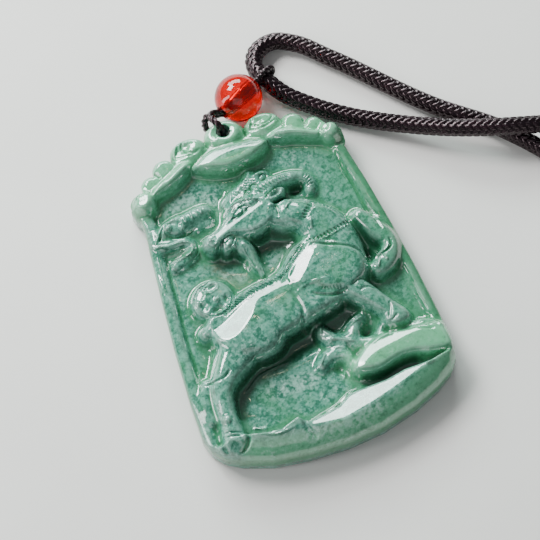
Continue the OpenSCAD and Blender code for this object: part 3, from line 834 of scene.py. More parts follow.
ENGRAVING: Tuple[Stroke, ...] = (
    # cloud border
    Line(((-5.2, 25.3), (-6.6, 25), (-7.7, 25.5), (-8.2, 26.5), (-7.7, 27.4), (-6.6, 27.9)), 0.3, -0.3),
    Line(((-9.9, 25.2), (-8.6, 24.9), (-7, 24.7), (-5.6, 25)), 0.26, -0.2),
    Line(((-4.3, 26.9), (-4.2, 26), (-3.9, 25.2)), 0.3, -0.5),
    Line(((-13.2, 24.2), (-12.9, 25.3), (-11.9, 25.8), (-10.8, 25.4)), 0.26, -0.16),
    Line(((-10.4, 25.8), (-10.2, 24.8), (-9.9, 24)), 0.3, -0.45),
    Line(((-13.7, 23.8), (-13.2, 23.2), (-13, 22.6)), 0.3, -0.4),
    Line(((-15.9, 22.3), (-15.5, 23.3), (-14.6, 23.7), (-13.7, 23.4)), 0.26, -0.16),
    Line(((-18.4, 19.4), (-17.4, 20.5), (-15.9, 20.6)), 0.3, -0.25),
    Loop((5.9, 27.1), (1.9, 1.0), 0, 0.3, -0.3),
    Line(((3.3, 25.9), (4.6, 25.5), (6.4, 25.5), (8.2, 26.3)), 0.28, -0.25),
    Line(((2.8, 27), (2.8, 26), (2.4, 25.2)), 0.3, -0.45),
    Line(((8.9, 26.4), (9.1, 25.4), (8.8, 24.7)), 0.3, -0.4),
    Line(((9.3, 25.4), (9.6, 26.3), (10.5, 26.7), (11.5, 26.3)), 0.26, -0.16),
    Line(((12.2, 24.9), (12.4, 24.1), (12.1, 23.5)), 0.3, -0.4),
    Line(((12.8, 24.3), (13.1, 24.9), (13.8, 25.1), (14.5, 24.7)), 0.24, -0.14),
    Line(((13.5, 20.5), (14, 21.4), (15, 21.8)), 0.3, -0.25),
    Line(((-15.6, 21), (-14, 20.9), (-12.7, 21.4), (-11.8, 22.2), (-10.8, 22.8), (-9.2, 23.2)), 0.3, 0.16),
    Line(((6.2, 23), (7.4, 23.8), (8.8, 24), (10.2, 23.7), (11.6, 22.9), (13.2, 22.4)), 0.3, 0.16),
    # ruyi cloud
    Line(((-17.2, 12.1), (-16.3, 13.5), (-15.4, 14.7), (-14.4, 15.2)), 0.3, 0.3),
    Line(((-16.6, 12.2), (-15.8, 13.5), (-15, 14.3)), 0.26, -0.3),
    Line(((-14.4, 14.8), (-13.5, 15), (-12.5, 14.5), (-12.1, 13.5), (-12.7, 12.8)), 0.28, 0.28),
    Line(((-14.8, 14.4), (-13.7, 14.5), (-12.9, 14), (-12.8, 13.4)), 0.26, -0.3),
    Mound((-14.6, 13.7), (0.75, 0.6), 6.5, 30, 1.2, 0.2, 5.6),
    Line(((-15.3, 13.5), (-15.1, 12.8), (-14.2, 12.2), (-13, 11.9), (-11.4, 12.3),
          (-9.8, 12.9)), 0.28, -0.35),
    Line(((-11.9, 15.2), (-11.4, 14.6), (-11.6, 13.7)), 0.24, 0.26),
    Line(((-11.1, 15.7), (-10.4, 14.9), (-10.4, 13.9)), 0.24, 0.26),
    Line(((-10.1, 15.9), (-9.5, 15), (-9.5, 14.2)), 0.24, 0.26),
    Line(((-9.3, 15.8), (-8.7, 15.1), (-8.7, 14.4)), 0.24, 0.26),
    Line(((-17.6, 12.9), (-18, 12.2), (-17.5, 11.4), (-16.9, 11.4), (-15.4, 10.9), (-13.8, 11.1),
          (-12.4, 10.7), (-11.8, 9.9), (-12.1, 9), (-13.4, 8.6), (-14.8, 8.3), (-15.7, 8)), 0.3, 0.32, 0.1),
    Line(((-16.2, 10.3), (-14.6, 10.1), (-13.1, 10.2), (-12.6, 9.7)), 0.35, -0.35),
    Line(((-11.5, 10.8), (-11, 9.7), (-11.4, 8.7), (-12.6, 8)), 0.26, -0.3),
    # eye, lids and face
    Mound((-3.4, 12), (0.6, 0.46), 7.2, 20, 1.0, 0.1, 5.9),
    Loop((-3.4, 12), (0.85, 0.66), 20, 0.2, -0.22),
    Line(((-4.9, 11.3), (-4.3, 11.9), (-3.5, 12.65), (-2.5, 12.95), (-1.3, 12.7)), 0.22, 0.25),
    Line(((-4.9, 11.1), (-3.6, 11.15), (-2.2, 11.75), (-1.3, 12.3)), 0.2, -0.2),
    Line(((-2.5, 13.5), (-2.4, 12.7), (-2, 12.3), (-1.5, 12.4)), 0.22, -0.25),
    Line(((-8.6, 9.9), (-7.4, 10.5), (-6.3, 11.5), (-5.3, 12.7), (-4.2, 13.4), (-2.9, 13.7), (-1.6, 13.5),
          (-0.5, 13.2), (0.5, 12.7)), 0.26, 0.42, 0.1),
    Line(((-4, 14.2), (-3.6, 15.1), (-3.4, 15.9), (-3, 16.7)), 0.34, 0.2),
    # nostril, lip, jaw
    Line(((-9.3, 10), (-9.9, 9.2), (-10, 8.2), (-9.5, 7.4)), 0.22, -0.22),
    Mound((-9.2, 8.8), (0.55, 0.5), 7.75, 0, 1.0, 0.1, 6.9),
    Line(((-8.5, 9.6), (-8.3, 8.8), (-8.8, 8.1)), 0.22, -0.25),
    Line(((-8.9, 6.9), (-8, 7.8), (-6.9, 8.6), (-5.8, 8.9), (-4.9, 8.6)), 0.26, -0.35),
    Loop((-6.5, 7.5), (1.2, 0.65), 36, 0.2, 0.16),
    Line(((-7.9, 6.9), (-6.9, 6.9), (-5.7, 7.7), (-5.1, 8.6)), 0.24, -0.25),
    Line(((2.2, 9), (2.7, 10.2), (2.5, 11.4)), 0.4, -0.3),
    # ear
    Mound((3.1, 12.8), (2.1, 0.95), 8.4, 17, 1.8, 0.1, 6),
    Dish((3.1, 12.8), (1.6, 0.62), 0.9, 17),
    Line(((1.4, 11.2), (3, 11.2), (4.8, 11.8)), 0.36, 0.32),
    Line(((1.2, 12.6), (2.4, 13.5), (4, 14), (5.2, 14.2)), 0.25, -0.4),
    # horn rings and curls
    Hatch(((0.6, 14.3), (1.8, 14.9), (2.9, 15.3), (4, 15.7), (5.1, 16), (6.8, 16.1)), 0.8, 0.58, 0.34, 0.5),
    Hatch(((8.8, 15.6), (9.5, 14.6), (9.3, 13)), 0.6, 0.5, 0.2, 0.4),
    Loop((0.55, 15.7), (0.62, 0.55), 20, 0.26, -0.34),
    Loop((-0.6, 15.2), (0.6, 0.42), 30, 0.24, -0.3),
    Loop((2.5, 17), (0.7, 0.5), 25, 0.26, -0.3),
    Hatch(((-3.2, 15.5), (-1, 16.3), (1.2, 17.4)), 0.7, 0.6, 0.25, 0.9),
    Hatch(((-2.6, 14.6), (-0.6, 14.4), (1.6, 14.3)), 0.4, 0.7, 0.2, 0.6),
    Line(((-0.8, 17.2), (0.2, 18), (1, 19.2)), 0.4, 0.35),
    Line(((0.9, 17.6), (2.2, 18), (3.4, 17.7)), 0.35, 0.35),
    # beard
    Line(((-4.5, 7.1), (-3.8, 6.5), (-3.6, 5.4), (-3.4, 4.4)), 0.32, 0.32),
    Line(((-4.4, 6.2), (-4.2, 5.2), (-3.9, 4.2), (-3.6, 2.8)), 0.26, -0.3),
    # roped hair along the back
    Line(((-10.6, -2.4), (-8.6, -1.2), (-6, -0.3), (-3.6, 0), (-1.6, -0.1), (0, 0.9), (1.4, 2.4),
          (3.6, 3.8)), 0.26, -0.28),
    Hatch(((-11.6, -3.3), (-8.8, -2), (-5.8, -1), (-2.6, -0.7), (0.2, 0.2), (2.2, 2),
           (4.4, 3.4)), 0.85, 0.55, 0.34, 0.9),
    # lines of the mane and the joints
    Line(((5.5, 2.7), (8.2, 1.7), (11, 0.5), (12.4, -0.6), (13, -2)), 0.36, -0.5),
    Hatch(((4.8, 3.5), (6.6, 3.35), (9, 3.65), (11.2, 4.2), (12.8, 4.9)), 0.42, 0.62, 0.36, 0.3),
    Line(((5, 2.95), (7.4, 2.95), (9.4, 3.3), (12.6, 4.4)), 0.22, 0.2),
    Hatch(((5.7, 7.1), (6.4, 7.9), (7.4, 8.8), (8.6, 9.2), (9.8, 8.8), (11, 7.7)), 0.5, 0.6, 0.42, 0.3),
    Line(((7.2, 9.5), (8.8, 9.9), (10.3, 9.1), (11.6, 7.4)), 0.4, -0.35),
    Line(((3.6, 9.7), (4.6, 10.6), (5.6, 11.5)), 0.35, 0.3),
    Line(((5.6, 11.4), (7.2, 10.9), (8.6, 10.3)), 0.4, 0.3),
    Line(((7, 11.7), (6.9, 10.9)), 0.3, 0.25),
    Line(((6.4, 5), (6.6, 6), (6.9, 7)), 0.4, 0.3),
    Hatch(((4, -4.1), (5.2, -5.1), (6.6, -5.4), (7.6, -5.7)), 0.4, 0.5, 0.16, 0.4),
    Line(((2.6, -4.9), (4.6, -6), (6.6, -6.4), (8.4, -6)), 0.35, -0.4),
    Line(((-0.6, -9.6), (0.4, -7.8), (0.3, -5.4), (-0.4, -3.4)), 0.6, -0.4),
    Line(((0.4, -4.2), (2, -3.4), (3.6, -3.3), (6.2, -3.6)), 0.3, 0.14),
    # hock, fetlock and hoof lines, knee
    Line(((9.1, -5.9), (10.2, -5.2), (11.4, -5.2), (12.4, -6)), 0.28, -0.3),
    Line(((9.8, -7), (11, -6.6), (12.6, -7.2)), 0.28, -0.25),
    Line(((-17.6, -13), (-16.4, -12.9), (-14.6, -13.1), (-13.2, -12.1)), 0.28, -0.4),
    Mound((-16.2, -19.3), (0.7, 0.9), 7.2, 0, 1.0, 0.2, 6.3),
    Line(((-18.3, -21.6), (-18.2, -23), (-17, -24.2), (-15.2, -24.4), (-14.1, -23.2),
          (-14, -21.6)), 0.5, -0.6),
    Line(((-17.7, -21), (-16.4, -21.3), (-14.9, -21.9)), 0.22, -0.3),
    Line(((-17.7, -21.7), (-16.2, -22), (-14.9, -22.4)), 0.22, -0.25),
    Line(((13.6, -9.9), (13.4, -11.2), (12.6, -12.6)), 0.3, -0.25),
    Line(((12.6, -13), (13.4, -12.9), (14, -12.3)), 0.3, -0.25),
    Line(((14, -2.7), (15.2, -1.9), (16.6, -1.7), (17.6, -1), (17.7, 0.3)), 0.3, -0.5),
    Line(((14.2, -3.9), (15, -2.6)), 0.35, 0.3),
    Line(((16, -3.4), (15.9, -2.3)), 0.3, 0.3),
    # coin
    Loop((-11.85, -0.25), (2.95, 2.9), 0, 0.26, -0.25),
    Dish((-11.7, 1.6), (1.5, 0.85), 0.4, 5), Loop((-11.7, 1.6), (1.25, 0.7), 5, 0.22, 0.18),
    Dish((-13.7, -1), (0.9, 1.2), 0.5, 15), Dish((-9.9, -0.9), (0.8, 1.2), 0.5, -15),
    Dish((-11.6, -2.2), (1.5, 0.8), 0.55, 8),
    Mound((-11.35, -0.55), (0.55, 0.5), 7.3, 0, 1, 0.15, 6.4),
    Line(((-13.2, -2.6), (-11.6, -2.9), (-10.2, -2.4)), 0.2, 0.18),
    # plants
    Line(((2.4, -12.1), (4.2, -12.6), (6.9, -14)), 0.3, 0.25),
    Line(((6.1, -12.1), (6.6, -11.2), (7.8, -10.7), (9.2, -10.3)), 0.25, 0.28),
    Line(((4.4, -11.6), (5.4, -11), (7, -10.3), (8.6, -9.8)), 0.28, 0.35),
    Line(((0.2, -15.7), (0.9, -14.8), (1.7, -13.9)), 0.25, 0.3),
    Line(((2, -10.9), (2.4, -9.9)), 0.25, 0.3),
    Line(((3.1, -13.8), (4.2, -14), (5.1, -14.8)), 0.25, 0.25),
    Line(((3.1, -18.6), (3.5, -17.3)), 0.25, 0.3),
    # rock and ground
    Line(((16.6, -14.3), (18, -14.1), (19.3, -14.9), (19.9, -16.2)), 0.3, 0.2),
    Line(((16.3, -15.3), (17.2, -15.9), (18.6, -16.4)), 0.25, -0.25),
    Line(((-14.4, -22.4), (-13.4, -22.3), (-12.4, -23), (-11, -23.8), (-9, -24.1), (-7, -23.8)), 0.3, 0.22),
    Line(((-12.9, -21.3), (-11.6, -21.7), (-10.8, -22)), 0.25, 0.3),
    Line(((-5.3, -23), (-5.4, -24.2), (-5, -25.4), (-4.2, -26.4)), 0.6, -0.35),
    Line(((-5, -23.4), (-3.4, -23.1), (-1.3, -22.6), (0.6, -22.2), (2.6, -21), (4.4, -20.8),
          (6.4, -20.8)), 0.3, 0.3),
    Line(((15.2, -21.2), (16.4, -21.3)), 0.35, 0.3),
    Line(((-12.6, -15.7), (-10.8, -14.8), (-9.5, -13.7), (-4, -13)), 0.3, 0.2),
    # grooves along the rims
    Line(((15.5, 18.2), (15.7, 15.4), (16.1, 11.7), (16.4, 7.5), (17.2, 2)), 0.4, -0.4, 0.1),
    Line(((18.5, -4), (18.8, -8), (19.2, -13)), 0.35, -0.3, 0.2),
    Line(((-15.8, 17.2), (-16, 15.4)), 0.4, -0.4),
    Line(((-16.3, 9.8), (-17, 5), (-17.3, 0), (-17.8, -5), (-18, -11)), 0.4, -0.4, 0.1),
    Line(((-18, 17.4), (-17.7, 15.6), (-17.4, 14.6)), 0.5, 0.3),
    Line(((-18.9, 9.4), (-18.7, 6), (-18.5, 3.6)), 0.4, 0.2),
)
# Where shade is painted on the stone between the forms, deep green: points and reach
DEEP: Patches = (
    (((-8.4, 6), (-5, 6.4), (-2, 6.8), (0.6, 7.3), (2.6, 6.6)), 2.3),
    (((-9, -13), (-4.6, -12), (0, -10.2), (4, -9.4), (8.6, -7.8)), 3),
    (((14.2, 4.2), (14.8, 2), (15.1, 0.4), (14.6, -1.2)), 2),
    (((-13.6, -18.6), (-13.2, -16.4), (-11.4, -14.4), (-9, -13)), 1.5),
    (((6.6, 13.8), (7.6, 14)), 1), (((6, -20.2), (10, -20.4), (14, -19.8)), 1.2),
)
# Where light comes through the stone and makes it a fresher green
CLEAR: Patches = (
    (((-16.6, 19.4), (-14, 21.8), (-8, 24.8), (-2, 26.8), (5, 26.2), (10, 24.6), (15.7, 21.4)), 4),
    (((-6, 21.6), (0, 20.6), (4.6, 21.8)), 1.8), (((5.6, -17.6), (10, -17), (15, -17), (20.4, -17.6)), 3.6),
    (((-14, -25.6), (-5, -27.4), (5, -27.2), (13, -25), (19, -22)), 2.6),
)
# Where the stone is pale
PALE: Patches = (
    (((-5, -25.8), (0, -26.6), (6, -25)), 1.6), (((-13, 17.4), (-9, 17.8), (-6, 16)), 2),
    (((-1.6, 2.2), (1.8, 4.4)), 1.8),
    (((-8, -16.6), (-2, -17)), 1.8),
)


# Finishes
class Nodes:
    """Short ways to add nodes to a tree; a value is a number, a hex colour or another node's output."""

    def __init__(self, tree: bpy.types.NodeTree) -> None:
        """Start from an empty tree."""
        tree.nodes.clear()
        self.tree = tree

    def add(self, kind: str, inputs: Optional[Dict[Any, Any]] = None, **settings: Any) -> bpy.types.Node:
        """Add a node, set its properties, and fill or link its inputs.

        Args:
            kind: Blender's name of the node type, after ShaderNode.
            inputs: For each input, by name or number, its value.
            **settings: Properties of the node.

        Returns:
            The new node.
        """
        node = self.tree.nodes.new("ShaderNode" + kind)
        for key, value in settings.items():
            setattr(node, key, value)
        for key, value in (inputs or {}).items():
            if isinstance(value, Socket):
                self.tree.links.new(value, node.inputs[key])
            else:
                node.inputs[key].default_value = linear(value) if isinstance(value, str) else value
        return node

    def stored(self, name: str) -> Socket:
        """Read a value that is kept for each point of the mesh."""
        return self.add("Attribute", attribute_name=name).outputs["Fac"]

    def plus(self, a: Any, b: Any) -> Socket:
        """Add two values."""
        return self.add("Math", {0: a, 1: b}, operation="ADD").outputs[0]

    def times(self, a: Any, b: Any) -> Socket:
        """Multiply two values."""
        return self.add("Math", {0: a, 1: b}, operation="MULTIPLY").outputs[0]

    def span(self, value: Any, low: float, high: float, to_low: float = 0, to_high: float = 1) -> Socket:
        """Carry a value from one span to another, smoothly, held at both ends."""
        inputs = {0: value, 1: low, 2: high, 3: to_low, 4: to_high}
        return self.add("MapRange", inputs, clamp=True, interpolation_type="SMOOTHSTEP").outputs[0]

    def blend(self, share: Any, a: Any, b: Any) -> Socket:
        """Mix two colours by a share."""
        return self.add("Mix", {0: share, 6: a, 7: b}, data_type="RGBA").outputs[2]

    def grain(self, place: Any, size: float, detail: float = 3, rough: float = 0.55) -> Socket:
        """Give cloudy noise whose clouds are size metres across."""
        inputs = {"Vector": place, "Scale": 1 / size, "Detail": detail, "Roughness": rough}
        return self.add("TexNoise", inputs).outputs["Fac"]

    def bump(self, height: Any, strength: float, deep: float) -> Socket:
        """Turn a height into a bent normal; deep is the height of one, in metres."""
        inputs = {"Strength": strength, "Distance": deep, "Height": height}
        return self.add("Bump", inputs).outputs[0]


@dataclass(frozen=True)
class Finish:
    """A material: its name, and how its surface is made."""
    name: str = "finish"

    def surface(self, nodes: Nodes, place: Socket) -> bpy.types.Node:
        """Build the shader node from nodes that read the place on the object."""
        raise NotImplementedError

    def material(self) -> bpy.types.Material:
        """Make the material with its node tree.

        Returns:
            The new material.
        """
        made = bpy.data.materials.new(self.name)
        made.use_nodes = True
        nodes = Nodes(made.node_tree)
        place = nodes.add("TexCoord").outputs["Object"]
        shader = self.surface(nodes, place)
        nodes.add("OutputMaterial", {"Surface": shader.outputs[0]})
        return made

    def dress(self, thing: Thing, slot: str) -> None:
        """Put the finish on an object.

        Args:
            thing: The object.
            slot: Name of the slot; not used.
        """
        thing.data.materials.clear()
        thing.data.materials.append(self.material())


# Jadeite jade, carved with wheels and polished by hand.  The polish gives sharp
# glints on facets and edges; the cuts that the polish doesn't reach look duller.
# The colour also holds painted light and shade: deep green in hollows and deep
# cuts, paler ridges, and fresher green near the edges.  The stone is a felt of
# grains of 0.1 to 1 mm, so it looks mottled, with clouds some millimetres across
# and pale flecks like cotton.
@dataclass(frozen=True)
class PolishedJade(Finish):
    """Polished jadeite: mottled green, with painted light on ridges and edges and painted shade in the cuts;
    sizes in metres.
    """
    name: str = "polished_jade"
    body: str = "#2F6D59"
    cloud: str = "#5F9C88"
    # a fresher green of the stone, and also painted transmitted light near the edges and painted shade in
    # the hollows
    leaf: str = "#347A50"
    # pale flecks of the stone, and also the painted highlight on the ridges
    fleck_and_highlight: str = "#B6D8CB"
    # the stone's dark spots, and also the painted shade in the deep cuts
    deep: str = "#0A3B26"
    glow: str = "#69B788"
    drift: float = 0.006
    clouding: float = 0.001
    cell: float = 0.0008
    vein: float = 0.0005
    polish: float = 0.00035

    def surface(self, nodes: Nodes, place: Socket) -> bpy.types.Node:
        """Mix clouds and flecks with painted shade and light from the depth and shape, and polish the stone.

        Args:
            nodes: The tree to add to.
            place: Place on the object.

        Returns:
            The shader node.
        """
        names = ("hollow", "ridge", "sunk", "edge_glow_and_tint", "pale", "clear")
        hollow, ridge, sunk, edge_glow_and_tint, pale, clear = (nodes.stored(name) for name in names)
        drifts = nodes.grain(place, self.drift, 3)
        # the clouds are drawn out along one direction, as the stone was pressed
        inputs = {"Vector": place, "Rotation": (0, 0, 0.52), "Scale": (1.7, 1, 1)}
        drawn = nodes.add("Mapping", inputs, vector_type="TEXTURE").outputs[0]
        clouds = nodes.grain(drawn, self.clouding, 5, 0.7)
        veins = nodes.grain(place, self.vein, 4, 0.65)
        inputs = {"Vector": place, "Scale": 1 / self.cell, "Smoothness": 0.3}
        cells = nodes.add("TexVoronoi", inputs, feature="SMOOTH_F1").outputs["Color"]
        mottle = nodes.plus(nodes.times(clouds, 0.32), nodes.times(veins, 0.5))
        mottle = nodes.plus(mottle, nodes.times(cells, 0.18))
        colour = nodes.blend(nodes.span(mottle, 0.4, 0.6), self.body, self.cloud)
        # fresher green in some clouds and towards the right; near the edges, and where light comes through,
        # painted transmitted light
        inputs = {0: nodes.span(drifts, 0.5, 0.32, 0, 0.45), 1: nodes.times(edge_glow_and_tint, 0.55)}
        leafy = nodes.add("Math", inputs, operation="MAXIMUM").outputs[0]
        colour = nodes.blend(leafy, colour, self.leaf)
        colour = nodes.blend(nodes.times(clear, 0.72), colour, self.glow)
        # pale flecks, fewer near the edges
        flecks = nodes.times(nodes.span(veins, 0.48, 0.6), nodes.span(clouds, 0.47, 0.6))
        flecks = nodes.times(flecks, nodes.span(drifts, 0.35, 0.65, 0.08, 0.36))
        flecks = nodes.plus(flecks, nodes.times(pale, nodes.span(mottle, 0.4, 0.6, 0, 0.36)))
        colour = nodes.blend(nodes.times(flecks, nodes.span(edge_glow_and_tint, 0, 1, 1, 0.15)), colour, self.fleck_and_highlight)
        # dark spots in the stone; painted shade in the hollows and on the deep ground; a painted highlight
        # on the ridges
        colour = nodes.blend(nodes.span(mottle, 0.46, 0.36, 0, 0.34), colour, self.deep)
        colour = nodes.blend(nodes.span(hollow, -0.15, -0.85, 0, 0.6), colour, self.leaf)
        colour = nodes.blend(nodes.span(sunk, 0.05, 0.95, 0, 0.8), colour, self.deep)
        # painted highlight: the ridges are made paler
        colour = nodes.blend(nodes.span(ridge, 0.6, 1, 0, 0.16), colour, self.fleck_and_highlight)
        pits = nodes.plus(nodes.grain(place, self.polish, 2), veins)
        return nodes.add("BsdfPrincipled", {
            "Base Color": colour, "IOR": 1.66, "Specular IOR Level": 0.8,
            "Roughness": nodes.plus(nodes.span(veins, 0.3, 0.7, 0.04, 0.08), nodes.times(sunk, 0.14)),
            "Subsurface Weight": 0.18, "Subsurface Radius": (0.4, 1.0, 0.6), "Subsurface Scale": 0.0007,
            "Normal": nodes.bump(pits, 0.15, 0.00003),
        })


# Red agate, ground to a ball and tumbled to a gloss: light goes through it, and
# its bands, here 3 mm apart, are soft and cloudy.
@dataclass(frozen=True)
class RedAgate(Finish):
    """Clear red agate with soft bands."""
    name: str = "red_agate"
    body: str = "#EC1606"
    band: str = "#B80A04"

    def surface(self, nodes: Nodes, place: Socket) -> bpy.types.Node:
        """Let light through the stone, a little cloudy.

        Args:
            nodes: The tree to add to.
            place: Place on the object.

        Returns:
            The shader node.
        """
        bands = nodes.span(nodes.grain(place, 0.003, 2), 0.35, 0.7)
        return nodes.add("BsdfPrincipled", {
            "Base Color": nodes.blend(bands, self.body, self.band), "Roughness": 0.03, "IOR": 1.54,
            "Specular IOR Level": 0.2, "Transmission Weight": 0.85,
        })


# Polyester yarn, dyed and braided or twisted tight: silky, with a reddish shine
# on the strands' crests, from its gloss and from a highlight painted into the
# colour.  Its filaments, 0.02 mm thick, are too fine to see one by one, so the
# noise is drawn far coarser and only changes slowly round a cord.
@dataclass(frozen=True)
class DarkFibre(Finish):
    """Dark polyester fibre with a silky shine."""
    name: str = "dark_fibre"
    body: str = "#050204"
    # painted highlight on the strands' crests
    crest: str = "#361E29"
    shine: str = "#C9A0A8"
    glint: str = "#FADCE4"

    def surface(self, nodes: Nodes, place: Socket) -> bpy.types.Node:
        """Paint a highlight on the strands' crests here and there and add a soft sheen.

        Args:
            nodes: The tree to add to.
            place: Place on the object.

        Returns:
            The shader node.
        """
        # painted highlight: the crests are lightened in patches
        crest = nodes.span(nodes.stored("crest"), 0.4, 1)
        lie = nodes.add("UVMap", uv_map="path_map").outputs[0]
        hair = nodes.add("TexNoise", {"Vector": lie, "Scale": 1.0, "Detail": 2.0}).outputs["Fac"]
        highlight_patches = nodes.plus(hair, nodes.grain(place, 0.004, 2))
        crest_highlight = nodes.times(crest, nodes.span(highlight_patches, 0.8, 1.3, 0.05, 0.5))
        return nodes.add("BsdfPrincipled", {
            "Base Color": nodes.blend(crest_highlight, self.body, self.crest), "Roughness": 0.24,
            "Specular IOR Level": 0.55, "Specular Tint": self.glint,
            "Sheen Weight": 0.04, "Sheen Roughness": 0.3, "Sheen Tint": self.shine,
            "Normal": nodes.bump(hair, 0.4, 0.00003),
        })


# Brass, turned on a lathe and left bare: a soft gloss with a brown tarnish in
# clouds of 3 mm.  Turning marks are 0.05 mm apart; they are drawn four times as
# coarse, or they wouldn't show.
@dataclass(frozen=True)
class SoftBrass(Finish):
    """Brass with fine turning marks and a little tarnish."""
    name: str = "soft_brass"
    body: str = "#B08D4A"
    tarnish: str = "#6E5426"

    def surface(self, nodes: Nodes, place: Socket) -> bpy.types.Node:
        """Tarnish the metal in clouds and let fine marks roughen it.

        Args:
            nodes: The tree to add to.
            place: Place on the object.

        Returns:
            The shader node.
        """
        cloud = nodes.grain(place, 0.003)
        inputs = {"Vector": place, "Scale": 1500.0, "Distortion": 1.5}
        marks = nodes.add("TexWave", inputs, bands_direction="Y").outputs["Fac"]
        return nodes.add("BsdfPrincipled", {
            "Base Color": nodes.blend(nodes.span(cloud, 0.5, 0.75, 0, 0.6), self.body, self.tarnish),
            "Metallic": 1.0, "Roughness": nodes.span(cloud, 0.3, 0.8, 0.22, 0.4),
            "Normal": nodes.bump(marks, 0.15, 0.00002),
        })


# Painted board under the pendant: matt, without a pattern that the eye sees.
@dataclass(frozen=True)
class PaleBoard(Finish):
    """Plain matt board, almost white."""
    name: str = "pale_board"
    body: str = "#E4E3DF"
    light: str = "#E8E7E3"

    def surface(self, nodes: Nodes, place: Socket) -> bpy.types.Node:
        """Vary the board a very little."""
        colour = nodes.blend(nodes.span(nodes.grain(place, 0.03), 0.3, 0.7), self.body, self.light)
        return nodes.add("BsdfPrincipled", {"Base Color": colour, "Roughness": 0.65})


# Pieces
class Side(Enum):
    """Which edge of the plaque a table describes, in millimetres."""
    LEFT = ((-20.2, -20.7), (-14, -20.6), (-5, -20.1), (3, -19.4), (12, -18.5), (15, -18.1), (17, -18.2),
            (18, -18.8), (19.2, -19.1), (19.8, -18.9))
    RIGHT = ((-19.4, 21.2), (-14, 21), (-5, 20.4), (3, 19.6), (12, 18.5), (16, 17.8), (18.6, 17.4),
             (19.4, 17.8), (20.4, 17.9))
    FOOT = ((-20.7, -20.2), (-20, -22.4), (-18.4, -24.4), (-16.1, -25.8), (-11.6, -27.4), (-6, -28.2),
            (0.2, -28.5), (6.2, -28), (12.2, -26.5), (16.6, -24.7), (19.2, -23.1), (20.5, -21.6),
            (21.2, -19.4))

    def at(self, key: np.ndarray) -> np.ndarray:
        """Read the edge at given heights, or at given widths for the foot."""
        table = np.asarray(self.value)
        return np.interp(key, table[:, 0], table[:, 1])


def rise(q: np.ndarray) -> np.ndarray:
    """Give the height of a quarter circle at share q of its width."""
    q = np.clip(q, 0, 1)
    return np.sqrt(q * (2 - q))


